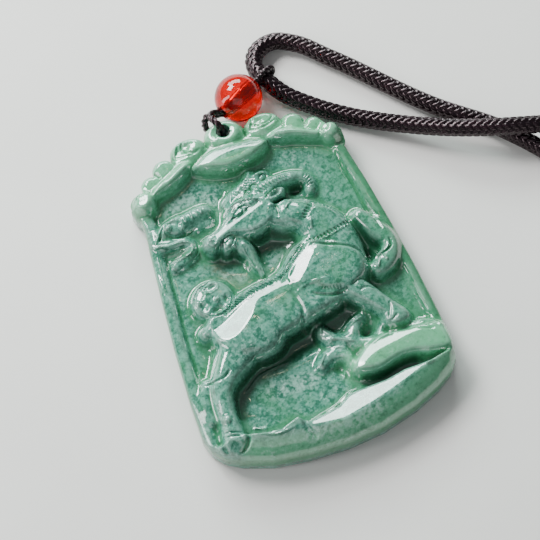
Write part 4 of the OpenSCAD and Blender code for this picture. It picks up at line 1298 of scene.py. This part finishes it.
@dataclass
class JadePlaque:
    """The carved slab, with its face on a grid fitted to the outline; sizes in millimetres."""
    width: float = 41.9
    foot_left: float = -20.7
    head_width: float = 36.8
    head_left: float = -18.9
    field: float = 3.9
    rim: float = 4.8
    rim_flat: float = 1.5
    rim_width: float = 2.6
    rim_top: float = 19
    edge: float = 3.7
    foot_edge: float = 2.6
    edge_round: float = 1.5
    foot_round: float = 7.5
    highest: float = 8.58
    back_chamfer: float = 0.5
    back_middle: float = -2
    ring_at: Tuple[float, float] = (-0.7, 27.0)
    hole: float = 2.4
    hollow: float = 8.4
    hollow_depth: float = 1.7
    sharp_edge: float = 48
    bore_sides: int = 72
    cols: int = 266
    rows: int = 346
    brow_rows: float = 0.95
    brow: Row = (26.6, -0.4, 0.021)
    shoulder: Row = (10, 0.012)
    # for each lobe of the top edge: middle, height, half width, bulge
    lobes: Rows = ((-16.9, 19.2, 2.2, 2.6), (-14.5, 22.3, 1.9, 1.8), (-11.8, 24.3, 2, 1.9),
                   (-7, 26.1, 3.2, 2.3), (-0.6, 26.7, 3.5, 3), (5.9, 26.4, 3.2, 2.4), (10.5, 25.2, 2.1, 2),
                   (13.7, 23.9, 1.6, 1.5), (15.8, 21, 2.2, 2.4))
    top_ends: Tuple[float, float] = (-18.8, 17.8)
    # passes of each blur: it softens the forms, or gives the surroundings
    soften: int = 5
    near_blur: int = 24
    fillet_blur: int = 90
    wide_blur: int = 160
    fillet_drop: float = 1.4
    fillet_melt: float = 0.8
    dome: float = 7.6
    dome_room: float = 1.5
    facet: float = 0.42
    step: float = 0.5
    # back edge of the ground: x, y, height
    ground: Rows = ((-20.8, -22.6, 7), (-14.6, -22, 7.1), (-12, -22.9, 7.1), (-9, -23.2, 7.2),
                    (-6.2, -22.3, 7.4), (-5.4, -23, 7.1), (-4.6, -23.4, 6.43), (-3, -23.2, 6.14),
                    (-1.3, -22.9, 5.87), (0.6, -22.5, 5.6), (2.6, -21.3, 5.3), (4.4, -21.1, 5.44),
                    (6.4, -21.1, 5.71), (9, -21.1, 6.01), (12, -20.6, 6.25), (16, -20.7, 6.74),
                    (20.8, -19.8, 6.9))

    def top_of(self, x: np.ndarray) -> np.ndarray:
        """Follow the highest lobe: height + bulge * (1 - k ** 2) ** 0.5.

        Args:
            x: Across.

        Returns:
            The top edge there; k is the distance from the lobe's middle over
            its half width.
        """
        tops = []
        for middle, up, half, tall in self.lobes:
            k = np.clip(((x - middle) / half) ** 2, 0, 1)
            tops.append(np.where(k < 1, up + tall * np.sqrt(1 - k), -100))
        return np.max(tops, axis=0)

    def carving_grid(self) -> Tuple[np.ndarray, np.ndarray]:
        """Fit a grid to the outline.

        Most rows share the height between the foot and a smooth brow line,
        which is a parabola: height, middle and bend.  Beyond the shoulders, at
        a distance to both sides, a second bend makes it fall faster.  The last
        rows share the height between the brow and the lobes.  A column's x runs
        from the left to the right edge at its height.

        Returns:
            The x and the y of every grid point.
        """
        u, v = np.linspace(0, 1, self.cols + 1)[None, :], np.linspace(0, 1, self.rows + 1)[:, None]
        foot = Side.FOOT.at(self.foot_left + u * self.width)
        across = self.head_left + u * self.head_width
        head = self.top_of(across)
        high, middle, bend = self.brow
        brow = high - bend * (across - middle) ** 2
        brow = brow - self.shoulder[1] * np.maximum(np.abs(across) - self.shoulder[0], 0) ** 2
        low, last = v / self.brow_rows, (v - self.brow_rows) / (1 - self.brow_rows)
        y = np.where(v < self.brow_rows, foot + low * (brow - foot), brow + last * (head - brow))
        left, right = Side.LEFT.at(y), Side.RIGHT.at(y)
        return left + u * (right - left), y

    def ground_at(self, x: np.ndarray, y: np.ndarray) -> Tuple[np.ndarray, np.ndarray, np.ndarray]:
        """Shape the ground under the goat.

        It is a quarter round that rises from the foot; a flat facet, turned to
        the top, takes off its far side and ends in a step down to the field.
        The table gives that back edge.

        Args:
            x: Across, for each grid point.
            y: Up, for each grid point.

        Returns:
            Height of the ground, the limit that it sets to the forms on it, and
            how far each point lies above the foot, as a share of the round.
        """
        bed = np.asarray(self.ground)
        back, high = np.interp(x, bed[:, 0], bed[:, 1]), np.interp(x, bed[:, 0], bed[:, 2])
        share = (y - Side.FOOT.at(x)) / self.foot_round
        dome = self.foot_edge + (self.dome - self.foot_edge) * rise(share)
        plane = high - self.facet * (y - back)
        step = self.field + (plane - self.field) * rise((back - y) / self.step)
        limit = dome + self.dome_room * np.clip(share, 0, 1) ** 2
        return np.where(y < back, np.minimum(dome, step), 0), limit, share

    def carved(self, x: np.ndarray, y: np.ndarray) -> Tuple[np.ndarray, Dict[str, np.ndarray]]:
        """Carve the face and round it off to the walls.

        Args:
            x: Across, for each grid point.
            y: Up, for each grid point.

        Returns:
            Height of each grid point, and the maps that the finish reads.
        """
        left, right = Side.LEFT.at(y), Side.RIGHT.at(y)
        side = np.minimum(x - left, right - x)
        k = np.clip((side - self.rim_flat) / (self.rim_width - self.rim_flat), 0, 1)
        rim = self.field + (self.rim - self.field) * (1 - k * k * (3 - 2 * k))
        face = Relief(x, y, np.where((y < self.rim_top) & (side < self.rim_width), rim, self.field))
        for stroke in BED:
            stroke.carve(face)
        face.z = face.blur(face.z, self.soften)
        # soft fillets where forms meet: nothing lies far below its surroundings
        around = face.blur(face.z, self.fillet_blur) - self.fillet_drop
        face.join(np.arange(x.size), around, self.fillet_melt)
        bank, limit, foot = self.ground_at(x, y)
        face.z = np.maximum(face.z, bank.ravel())
        for stroke in EDGES:
            stroke.carve(face)
        face.z = face.blur(face.z, 1)
        for stroke in ENGRAVING:
            stroke.carve(face)
        ground = np.minimum(np.minimum(face.z, self.highest).reshape(x.shape), limit)
        above = self.top_of(np.clip(x, *self.top_ends)) - y
        lift = rise(np.minimum(side, np.maximum(above, 0)) / self.edge_round)
        edge = self.edge + (self.foot_edge - self.edge) * (1 - np.clip(foot, 0, 1))
        height = edge + (ground - edge) * lift
        return height, self.maps_for(face, ground, height, np.minimum(side, above))

    def maps_for(self, face: Relief, ground: np.ndarray, height: np.ndarray,
                 inwards: np.ndarray) -> Dict[str, np.ndarray]:
        """Work out the maps that the finish reads.

        Each comes from a length in millimetres over which it grows: hollow is
        how far a point stands over its surroundings, ridge how sharp a ridge it
        lies on, sunk how deep the stone is cut or how near a listed deep zone it
        lies, and the edge map how near the edge it is, more so towards the right.
        The finish paints shade with hollow and sunk, a highlight with ridge, and
        transmitted light with the edge map.

        Args:
            face: The carved face.
            ground: Its heights before the edge is rounded off.
            height: Its heights after that.
            inwards: Distance of each point from the edge.

        Returns:
            A map for each name, on the grid.
        """
        none, full = np.zeros(face.shape), np.ones(face.shape)
        near, wide = (height - face.blur(height, passes) for passes in (self.near_blur, self.wide_blur))
        # painted shade: the deep ground and the DEEP zones, which the finish paints deep green and makes
        # duller
        sunk = face.spread(DEEP, np.clip((3.6 - ground) / 1.5, 0, 0.3), np.clip((7 - ground) / 2, 0, 1))
        x = face.x.reshape(face.shape)
        # painted transmitted light near the edge, stronger and greener towards the right
        leafy = (1 + 0.7 * np.tanh(x / 10)) * np.exp(-np.maximum(inwards, 0) / 2.5)
        return {
            "hollow": np.tanh(near / 0.3 + wide / 1.4), "ridge": np.tanh(np.maximum(near, 0) / 0.15),
            "sunk": face.blur(sunk, 2),
            "edge_glow_and_tint": np.minimum(leafy + 0.35 * np.clip((x - 4) / 10, 0, 1), 1.6),
            "pale": face.spread(PALE, none, full), "clear": face.spread(CLEAR, none, full),
        }

    def slab(self, x: np.ndarray, y: np.ndarray, z: np.ndarray) -> Tuple[np.ndarray, List[np.ndarray]]:
        """Close the face with walls, a chamfer and a flat back.

        Args:
            x: Across, for each grid point.
            y: Up, for each grid point.
            z: Height of each grid point.

        Returns:
            All points and the blocks of faces.
        """
        count = np.arange(x.size).reshape(x.shape)
        rim = np.concatenate([count[0, :-1], count[:-1, -1], count[-1, :0:-1], count[:0:-1, 0]])
        n = len(rim)
        ex, ey, ez = x.ravel()[rim], y.ravel()[rim], z.ravel()[rim]
        shrink = 1 - 2 * self.back_chamfer / self.width
        bands = [np.stack([ex, ey, ez + (self.back_chamfer - ez) * 0.4], axis=1),
                 np.stack([ex, ey, np.full(n, self.back_chamfer)], axis=1),
                 np.stack([ex * shrink, ey * shrink, np.zeros(n)], axis=1)]
        grid = np.stack([x.ravel(), y.ravel(), z.ravel()], axis=1)
        points = np.vstack([grid, *bands, [[0, self.back_middle, 0]]])
        faces = [grid_quads(*x.shape)]
        before = rim
        for k in range(len(bands)):
            after = x.size + k * n + np.arange(n)
            faces.append(np.stack([before, after, np.roll(after, -1), np.roll(before, -1)], axis=1))
            before = after
        faces.append(np.stack([before, np.full(n, len(points) - 1), np.roll(before, -1)], axis=1))
        return points, faces

    def drilled(self, thing: Thing) -> None:
        """Cut the thread hole and the hollow behind it.

        Args:
            thing: The plaque's object.
        """
        cuts = []
        place = Matrix.Translation(Vector((self.ring_at[0] * MM, self.ring_at[1] * MM, 0)))
        for name, across, high in (("bore", self.hole, 10), ("back_hollow", self.hollow, self.hollow_depth)):
            wall = ((across / 2 * MM, -1 * MM), (across / 2 * MM, high * MM))
            cut = turned(name, wall, self.bore_sides, place)
            step = thing.modifiers.new(name, "BOOLEAN")
            step.operation, step.solver, step.object = "DIFFERENCE", "EXACT", cut
            cuts.append(cut)
        bpy.context.view_layer.update()
        graph = bpy.context.evaluated_depsgraph_get()
        done = bpy.data.meshes.new_from_object(thing.evaluated_get(graph))
        thing.modifiers.clear()
        thing.data = done
        for cut in cuts:
            bpy.data.objects.remove(cut)

    def build(self) -> Thing:
        """Build and dress the plaque.

        Returns:
            The plaque's object.
        """
        x, y = self.carving_grid()
        z, maps = self.carved(x, y)
        points, faces = self.slab(x, y, z)
        thing = build_mesh("carved_plaque", points * MM, faces)
        extra = len(points) - x.size
        for name, values in maps.items():
            store_point_values(thing, name, np.concatenate([values.ravel(), np.zeros(extra)]))
        self.drilled(thing)
        thing.data.set_sharp_from_angle(angle=math.radians(self.sharp_edge))
        PolishedJade().dress(thing, "jade")
        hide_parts("jade_plaque")
        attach(thing, "root")
        return thing


@dataclass
class AgateBead:
    """The round bead: a turned sphere with a countersunk bore; sizes in millimetres.

    It rests on the floor, a gap away from the notch beside the plaque's ring.
    """
    across: float = 8.0
    bore: float = 2.0
    mouth: float = 2.6
    flare: float = 0.12
    flare_depth: float = 0.42
    turn: float = 27.0
    notch: Tuple[float, float] = (2.8, 27.7)
    gap: float = 1.15
    lean: float = 13.0
    sharp_edge: float = 40
    steps: int = 90
    sides: int = 128

    def middle(self) -> Row:
        """Work out where the bead's middle is, from the notch, the gap and the lean.

        Returns:
            Its place in millimetres; the lean is the angle to the y axis.
        """
        away, lean = self.across / 2 + self.gap, math.radians(self.lean)
        x, y = self.notch
        return x + away * math.sin(lean), y + away * math.cos(lean), self.across / 2

    def on_axis(self, far: float) -> Tuple[float, float]:
        """Find a spot on the line of the bead's bore.

        Args:
            far: Distance from the bead's middle, in millimetres, towards the neck cord.

        Returns:
            The spot's x and y, in millimetres.
        """
        (x, y, _), turn = self.middle(), math.radians(self.turn)
        return x + far * math.cos(turn), y + far * math.sin(turn)

    def place(self) -> Matrix:
        """Lay the bore's axis along the bead's own direction."""
        lie = Matrix.Rotation(math.radians(self.turn), 4, "Z") @ Matrix.Rotation(math.radians(90), 4, "Y")
        return Matrix.Translation(Vector(self.middle()) * MM) @ lie

    def build(self) -> Thing:
        """Turn the sphere between its two mouths, then the bore.

        Returns:
            The bead's object.
        """
        r, bore = self.across / 2, self.bore / 2
        end = math.sqrt(r**2 - (self.mouth / 2) ** 2)
        low = math.asin(end / r)
        arc = np.linspace(-low, low, self.steps)
        outer = np.stack([r * np.cos(arc), r * np.sin(arc)], axis=1)
        half = [(bore + self.flare, end - self.flare), (bore, end - self.flare_depth)]
        inner = np.array([*half, (bore, 0.0), *((x, -y) for x, y in half[::-1])])
        thing = turned("red_bead", np.vstack([outer, inner]) * MM, self.sides, self.place(), closed=True)
        thing.data.set_sharp_from_angle(angle=math.radians(self.sharp_edge))
        RedAgate().dress(thing, "agate")
        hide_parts("agate_bead")
        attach(thing, "root")
        return thing


@dataclass
class BailThread:
    """The twisted thread that ties bead, ring and cord together; sizes in millimetres."""
    across: float = 1.2
    bore_across: float = 0.82
    plies: int = 3
    ply: float = 0.4641
    valley: float = 0.7
    swollen: float = 1.02
    twist: float = 2.5
    smooth_steps: int = 24
    step: float = 0.085
    sides: int = 30
    cord_across: float = 3.0
    beyond_bead: float = 2.12
    ring_at: Tuple[float, float] = (-0.7, 27.0)
    # round the ring: x and y from its hole, height, share of the thread's radius
    at_ring: Rows = ((0.2, 4.1, 4.9, 0.8), (-0.8, 3.6, 5.6, 1), (-1.1, 2.6, 6.4, 1), (-0.7, 1.4, 6.75, 1),
                     (-0.1, 0.35, 5.8, 0.95), (0, 0, 4, 0.9), (-0.1, 0.1, 2, 0.9), (-0.7, 0.8, 0.95, 0.95),
                     (-1.25, 2.1, 0.85, 1), (-1.8, 3.4, 1.15, 1), (-1.9, 4.05, 2.4, 1), (-1.2, 4.6, 3.3, 1),
                     (-0.1, 4.3, 3.5, 0.8))

    def through_bead(self, bead: AgateBead) -> List[Row]:
        """List the thread's points in the bead: along its bore, height, radius.

        Args:
            bead: The bead that the thread passes twice.

        Returns:
            Rows from the ring's side through the bore, round the cord and back.
        """
        b, slim, free = bead.across / 2, self.bore_across / 2, self.across * 5 / 12
        off, cord = slim + 0.04, self.cord_across / 2
        out, high, turn = b + self.beyond_bead, cord + 2 * free + 0.12, cord + free + 0.08
        return [
            (-b + 0.1, b - off - 0.03, slim), (-b + 1.2, b - off, slim), (b - 1.8, b - off, slim),
            (b - 0.7, b - off, slim * 0.95), (b - 0.1, b - off - 0.2, slim * 0.85),
            (b + 0.3, b - off - 0.85, slim * 0.8), (out - turn * 0.83, high - turn * 0.55, free * 0.8),
            (out, high - turn, free), (out + turn * 0.71, high - turn * 0.71, free),
            (out + turn, high, free), (out + turn * 0.71, high + turn * 0.71, free),
            (out, high + turn + 0.02, free), (b + 0.9, b + off + 0.15, free * 0.9),
            (b + 0.1, b + off + 0.02, slim), (b - 0.7, b + off, slim), (b - 1.8, b + off, slim),
            (-b + 1.2, b + off, slim), (-b + 0.1, b + off + 0.03, slim),
        ]

    def build(self, bead: AgateBead) -> Thing:
        """Sweep three plies round each other along the loop.

        The outline of a section is that of three round plies side by side:
        c * cos d + (p ** 2 - (c * sin d) ** 2) ** 0.5, with p the radius of a
        ply, c = 1 - p and d the turn from the nearest ply; it is held to at
        least the valley.  All are shares of the thread's radius.

        Args:
            bead: The bead that the thread passes.

        Returns:
            The thread's object.
        """
        (x, y), r = self.ring_at, self.across / 2
        rows = [(x + across, y + up, z, share * r) for across, up, z, share in self.at_ring]
        rows += [(*bead.on_axis(far), z, free) for far, z, free in self.through_bead(bead)]
        path = smooth_path(rows, self.smooth_steps, closed=True)
        looped = np.vstack([path, path[:1]])
        whole = lengths_along(looped)[-1]
        rings = int(whole / self.step)
        at = np.arange(rings) * whole / rings
        path = resampled(looped, at)
        turns = round(whole / self.twist) / whole
        around = (np.arange(self.sides) * 2 * math.pi / self.sides)[None, :]
        third = 2 * math.pi / self.plies
        d = (around - 2 * math.pi * turns * at[:, None] + third / 2) % third - third / 2
        p, c = self.ply, 1 - self.ply
        outline = c * np.cos(d) + np.sqrt(np.maximum(p**2 - (c * np.sin(d)) ** 2, 0))
        outline = np.maximum(outline, self.valley)
        radius = path[:, 3:4] * MM * outline * self.swollen
        thing = swept("bail_twist", path[:, :3] * MM, radius, closed=True)
        crest = (outline.ravel() - self.valley) / (1 - self.valley)
        store_point_values(thing, "crest", np.clip(crest, 0, 1))
        DarkFibre(name="thread_fibre").dress(thing, "thread")
        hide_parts("bail_thread")
        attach(thing, "root")
        return thing


@dataclass
class CordClasp:
    """The barrel that joins the cord's ends; sizes in millimetres."""
    length: float = 12.0
    across: float = 5.0
    socket: float = 4.0
    bore: float = 3.3
    sharp_edge: float = 35
    sides: int = 96
    at: Tuple[float, float] = (78.0, 2.5)

    def build(self) -> Thing:
        """Turn the barrel: its sockets, a bead at each end and a seam in the middle.

        Returns:
            The clasp's object.
        """
        h, r, b = self.length / 2, self.across / 2, self.bore / 2
        half = [(b, h - self.socket), (b, h - 0.25), (b + 0.2, h), (r - 0.5, h), (r - 0.18, h - 0.14),
                (r - 0.04, h - 0.4), (r - 0.04, h - 0.8), (r - 0.2, h - 1), (r - 0.2, h - 1.15),
                (r, h - 1.35), (r, 0.3), (r - 0.16, 0.14)]
        profile = np.array(half + [(x, -y) for x, y in half[::-1]])
        middle = Matrix.Translation(Vector((self.at[0], self.at[1], r)) * MM)
        place = middle @ Matrix.Rotation(math.radians(-90), 4, "X")
        thing = turned("barrel_clasp", profile * MM, self.sides, place)
        thing.data.set_sharp_from_angle(angle=math.radians(self.sharp_edge))
        SoftBrass().dress(thing, "clasp")
        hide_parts("cord_clasp")
        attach(thing, "root")
        return thing


@dataclass
class NeckCord:
    """The round braided cord; its route is given in millimetres."""
    across: float = 3.0
    pitch: float = 1.18
    relief: float = 0.42
    columns: int = 8
    slant: float = 0.75
    sides: int = 48
    fine_step: float = 0.145
    wide_step: float = 0.34
    # the camera sees the cord to the left of this x and above this y
    seen_to: Tuple[float, float] = (58, -16)
    # where the thread's loop pinches the cord: from the bead's middle, and over the floor
    pinch_out: float = 6.12
    pinch_up: float = 1.12
    smooth_steps: int = 12
    route: Rows = ((80.6, 14.5, 0.4), (86.7, 17, 0), (115.4, 16.4, 0), (126.2, 22.2, 0), (126.2, 34.7, 0),
                   (115.4, 40.9, 0), (98, 39.3, 0), (84, 27.5, 0), (72, 15.2, 0), (59.5, 9.8, 0.3),
                   (49.5, 11, 2.7), (44.7, 12.1, 3.2), (38.5, 14.2, 2.8), (30, 18.7, 1), (15.3, 28.5, 0.1),
                   (11.7, 31.8, 0.6))
    back: Rows = ((8.7, 38, 0.9), (10.1, 41, 0.3), (13.3, 42.1, 0), (16.5, 40.7, 0), (21.2, 36.1, 0),
                  (34.5, 21.5, 0), (44, 13.1, 0), (51.5, 2.5, 0), (54.8, -11, 0), (63.5, -23, 0),
                  (77, -26.6, 0), (112, -27, 0), (118, -27, 0), (123.6, -24.8, 0), (125.9, -19.2, 0),
                  (123.6, -13.7, 0), (118, -11.4, 0), (86.7, -12, 0), (80.6, -9.5, 0.4))

    def path(self, clasp: CordClasp, bead: AgateBead) -> np.ndarray:
        """Carry the smooth route from one socket of the clasp to the other.

        Args:
            clasp: The clasp that holds both ends.
            bead: The bead whose thread pinches the cord.

        Returns:
            Centre points of the cord.
        """
        x, y = clasp.at
        ends = (clasp.length / 2 - clasp.socket + 0.1, clasp.length / 2 - 0.2)
        rise_up = clasp.across / 2 - self.across / 2
        pinch = (*bead.on_axis(self.pinch_out), self.pinch_up)
        rows = [*((x, y + e, rise_up) for e in ends), *self.route, pinch, *self.back,
                *((x, y - e, rise_up) for e in ends[::-1])]
        path = smooth_path(rows, self.smooth_steps)
        path[:, 2] = np.maximum(path[:, 2], 0) + self.across / 2
        return path

    def build(self, clasp: CordClasp, bead: AgateBead, hardware: Thing) -> Thing:
        """Sweep the braid: columns of slanted strands round the cord.

        In its column, a strand's height is ((1 - (2 w) ** 4) * (1 - |2 v| ** 3))
        ** 0.5, w across the column and v along the strand; the columns lean in
        turn to one side and to the other and are half a pitch apart.  Rings of
        points are close where the camera sees the cord.

        Args:
            clasp: The clasp's sizes.
            bead: The bead's sizes.
            hardware: The clasp's object, which is on the cord; not used.

        Returns:
            The cord's object.
        """
        path = self.path(clasp, bead)
        s = lengths_along(path)
        seen = (path[:, 0] < self.seen_to[0]) & (path[:, 1] > self.seen_to[1])
        step = np.where(seen, self.fine_step, self.wide_step)
        count = np.concatenate([[0.0], np.cumsum(np.diff(s) / ((step[1:] + step[:-1]) / 2))])
        at = np.interp(np.linspace(0, count[-1], int(count[-1]) + 1), count, s)
        path = resampled(path, at)
        a = (np.arange(self.sides) / self.sides)[None, :]
        column = np.floor(self.columns * a)
        # a column's points lie half a step to both sides of its middle
        w = self.columns * a - column - 0.5 + self.columns / self.sides / 2
        lean = np.where(column % 2 == 0, 1.0, -1.0)
        v = (at[:, None] / self.pitch + lean * w * self.slant + 0.5 * (column % 2)) % 1 - 0.5
        strand = np.clip(1 - (2 * w) ** 4, 0, 1) ** 0.5 * np.clip(1 - np.abs(2 * v) ** 3, 0, 1) ** 0.5
        radius = self.across / 2 - self.relief * (1 - strand)
        thing = swept("braided_cord", path * MM, radius * MM)
        store_point_values(thing, "crest", strand.ravel())
        DarkFibre(name="cord_fibre").dress(thing, "cord")
        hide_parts("neck_cord")
        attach(thing, "root")
        return thing


@dataclass(frozen=True)
class SoftBox:
    """An area light that faces the plaque; distance and sides in metres, power in watts."""
    name: str
    toward: Row
    far: float
    size: Tuple[float, float]
    watts: float
    colour: str = "#FFFFFF"

    def hang(self) -> None:
        """Make the light, and put it in its direction from the plaque, facing it."""
        lamp = bpy.data.lights.new(self.name, "AREA")
        lamp.shape, lamp.size, lamp.size_y = "RECTANGLE", *self.size
        lamp.energy, lamp.color = self.watts, linear(self.colour)[:3]
        thing = bpy.data.objects.new(self.name, lamp)
        way = Vector(self.toward).normalized()
        turn = way.to_track_quat("Z", "Y").to_matrix().to_4x4()
        thing.matrix_world = Matrix.Translation(way * self.far) @ turn
        bpy.context.scene.collection.objects.link(thing)


@dataclass
class Studio:
    """Camera, lights and floor; distances in metres, the picture in pixels."""
    place: Row = (-0.03312, -0.08438, 0.238)
    right: Row = (0.93969, -0.34202, 0)
    up: Row = (0.31822, 0.87430, 0.36650)
    focal_pixels: float = 1590.0
    picture: float = 540
    sensor: float = 36
    sky: str = "#DADFE4"
    sky_strength: float = 0.29
    half_floor: float = 1.2
    # the first two mirror in the flat facets of the jade, the last gives it small warm glints
    boxes: Tuple[SoftBox, ...] = (
        SoftBox("main_box", (-0.35, 0.63, 0.69), 0.5, (0.22, 0.16), 3.4),
        SoftBox("broad_panel", (0.02, 0.86, 0.48), 0.6, (0.46, 0.2), 5.4, "#E8F8F4"),
        SoftBox("left_strip", (-0.93, 0.12, 0.36), 0.5, (0.1, 0.45), 1.3),
        SoftBox("front_fill", (-0.3, -0.62, 0.72), 0.7, (0.6, 0.4), 0.62),
        SoftBox("warm_strip", (0.125, 0.36, 0.92), 0.5, (0.04, 0.003), 0.012, "#FFF0CC"),
    )

    def camera(self) -> Thing:
        """Set the camera at the photograph's angle.

        Returns:
            The camera's object.
        """
        lens = bpy.data.cameras.new("view")
        lens.sensor_width, lens.sensor_fit = self.sensor, "HORIZONTAL"
        lens.lens = self.sensor * self.focal_pixels / self.picture
        lens.clip_start, lens.clip_end = 0.01, 10
        thing = bpy.data.objects.new("view", lens)
        right, up = Vector(self.right), Vector(self.up)
        turn = Matrix((right, up, right.cross(up))).transposed()
        thing.matrix_world = Matrix.Translation(Vector(self.place)) @ turn.to_4x4()
        bpy.context.scene.collection.objects.link(thing)
        bpy.context.scene.camera = thing
        return thing

    def lights(self) -> None:
        """Hang the lamps and set the soft surrounding light."""
        for box in self.boxes:
            box.hang()
        world = bpy.data.worlds.new("soft_room")
        world.use_nodes = True
        bpy.context.scene.world = world
        nodes = Nodes(world.node_tree)
        sky = nodes.add("Background", {"Color": self.sky, "Strength": self.sky_strength})
        nodes.add("OutputWorld", {"Surface": sky.outputs[0]})

    def floor(self) -> Thing:
        """Lay a plain pale board under the piece.

        Returns:
            The board's object.
        """
        half = np.linspace(-self.half_floor, self.half_floor, 9)
        x, y = np.meshgrid(half, half)
        points = np.stack([x.ravel(), y.ravel(), np.zeros(x.size)], axis=1)
        thing = build_mesh("board", points, [grid_quads(*x.shape)], smooth=False)
        thing.data.materials.append(PaleBoard().material())
        return thing


def main() -> None:
    """Build the scene piece by piece and log each piece's triangle count."""
    logging.basicConfig(level=logging.INFO, format="%(name)s: %(message)s")
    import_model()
    studio = Studio()
    studio.camera()
    clasp, bead = CordClasp(), AgateBead()
    hardware = clasp.build()
    cord = NeckCord().build(clasp, bead, hardware)
    thread = BailThread().build(bead)
    ball = bead.build()
    plaque = JadePlaque().build()
    studio.floor()
    studio.lights()
    for thing in (hardware, cord, thread, ball, plaque):
        thing.data.calc_loop_triangles()
        LOG.info("%s: %d triangles", thing.name, len(thing.data.loop_triangles))


if __name__ == "__main__":
    main()
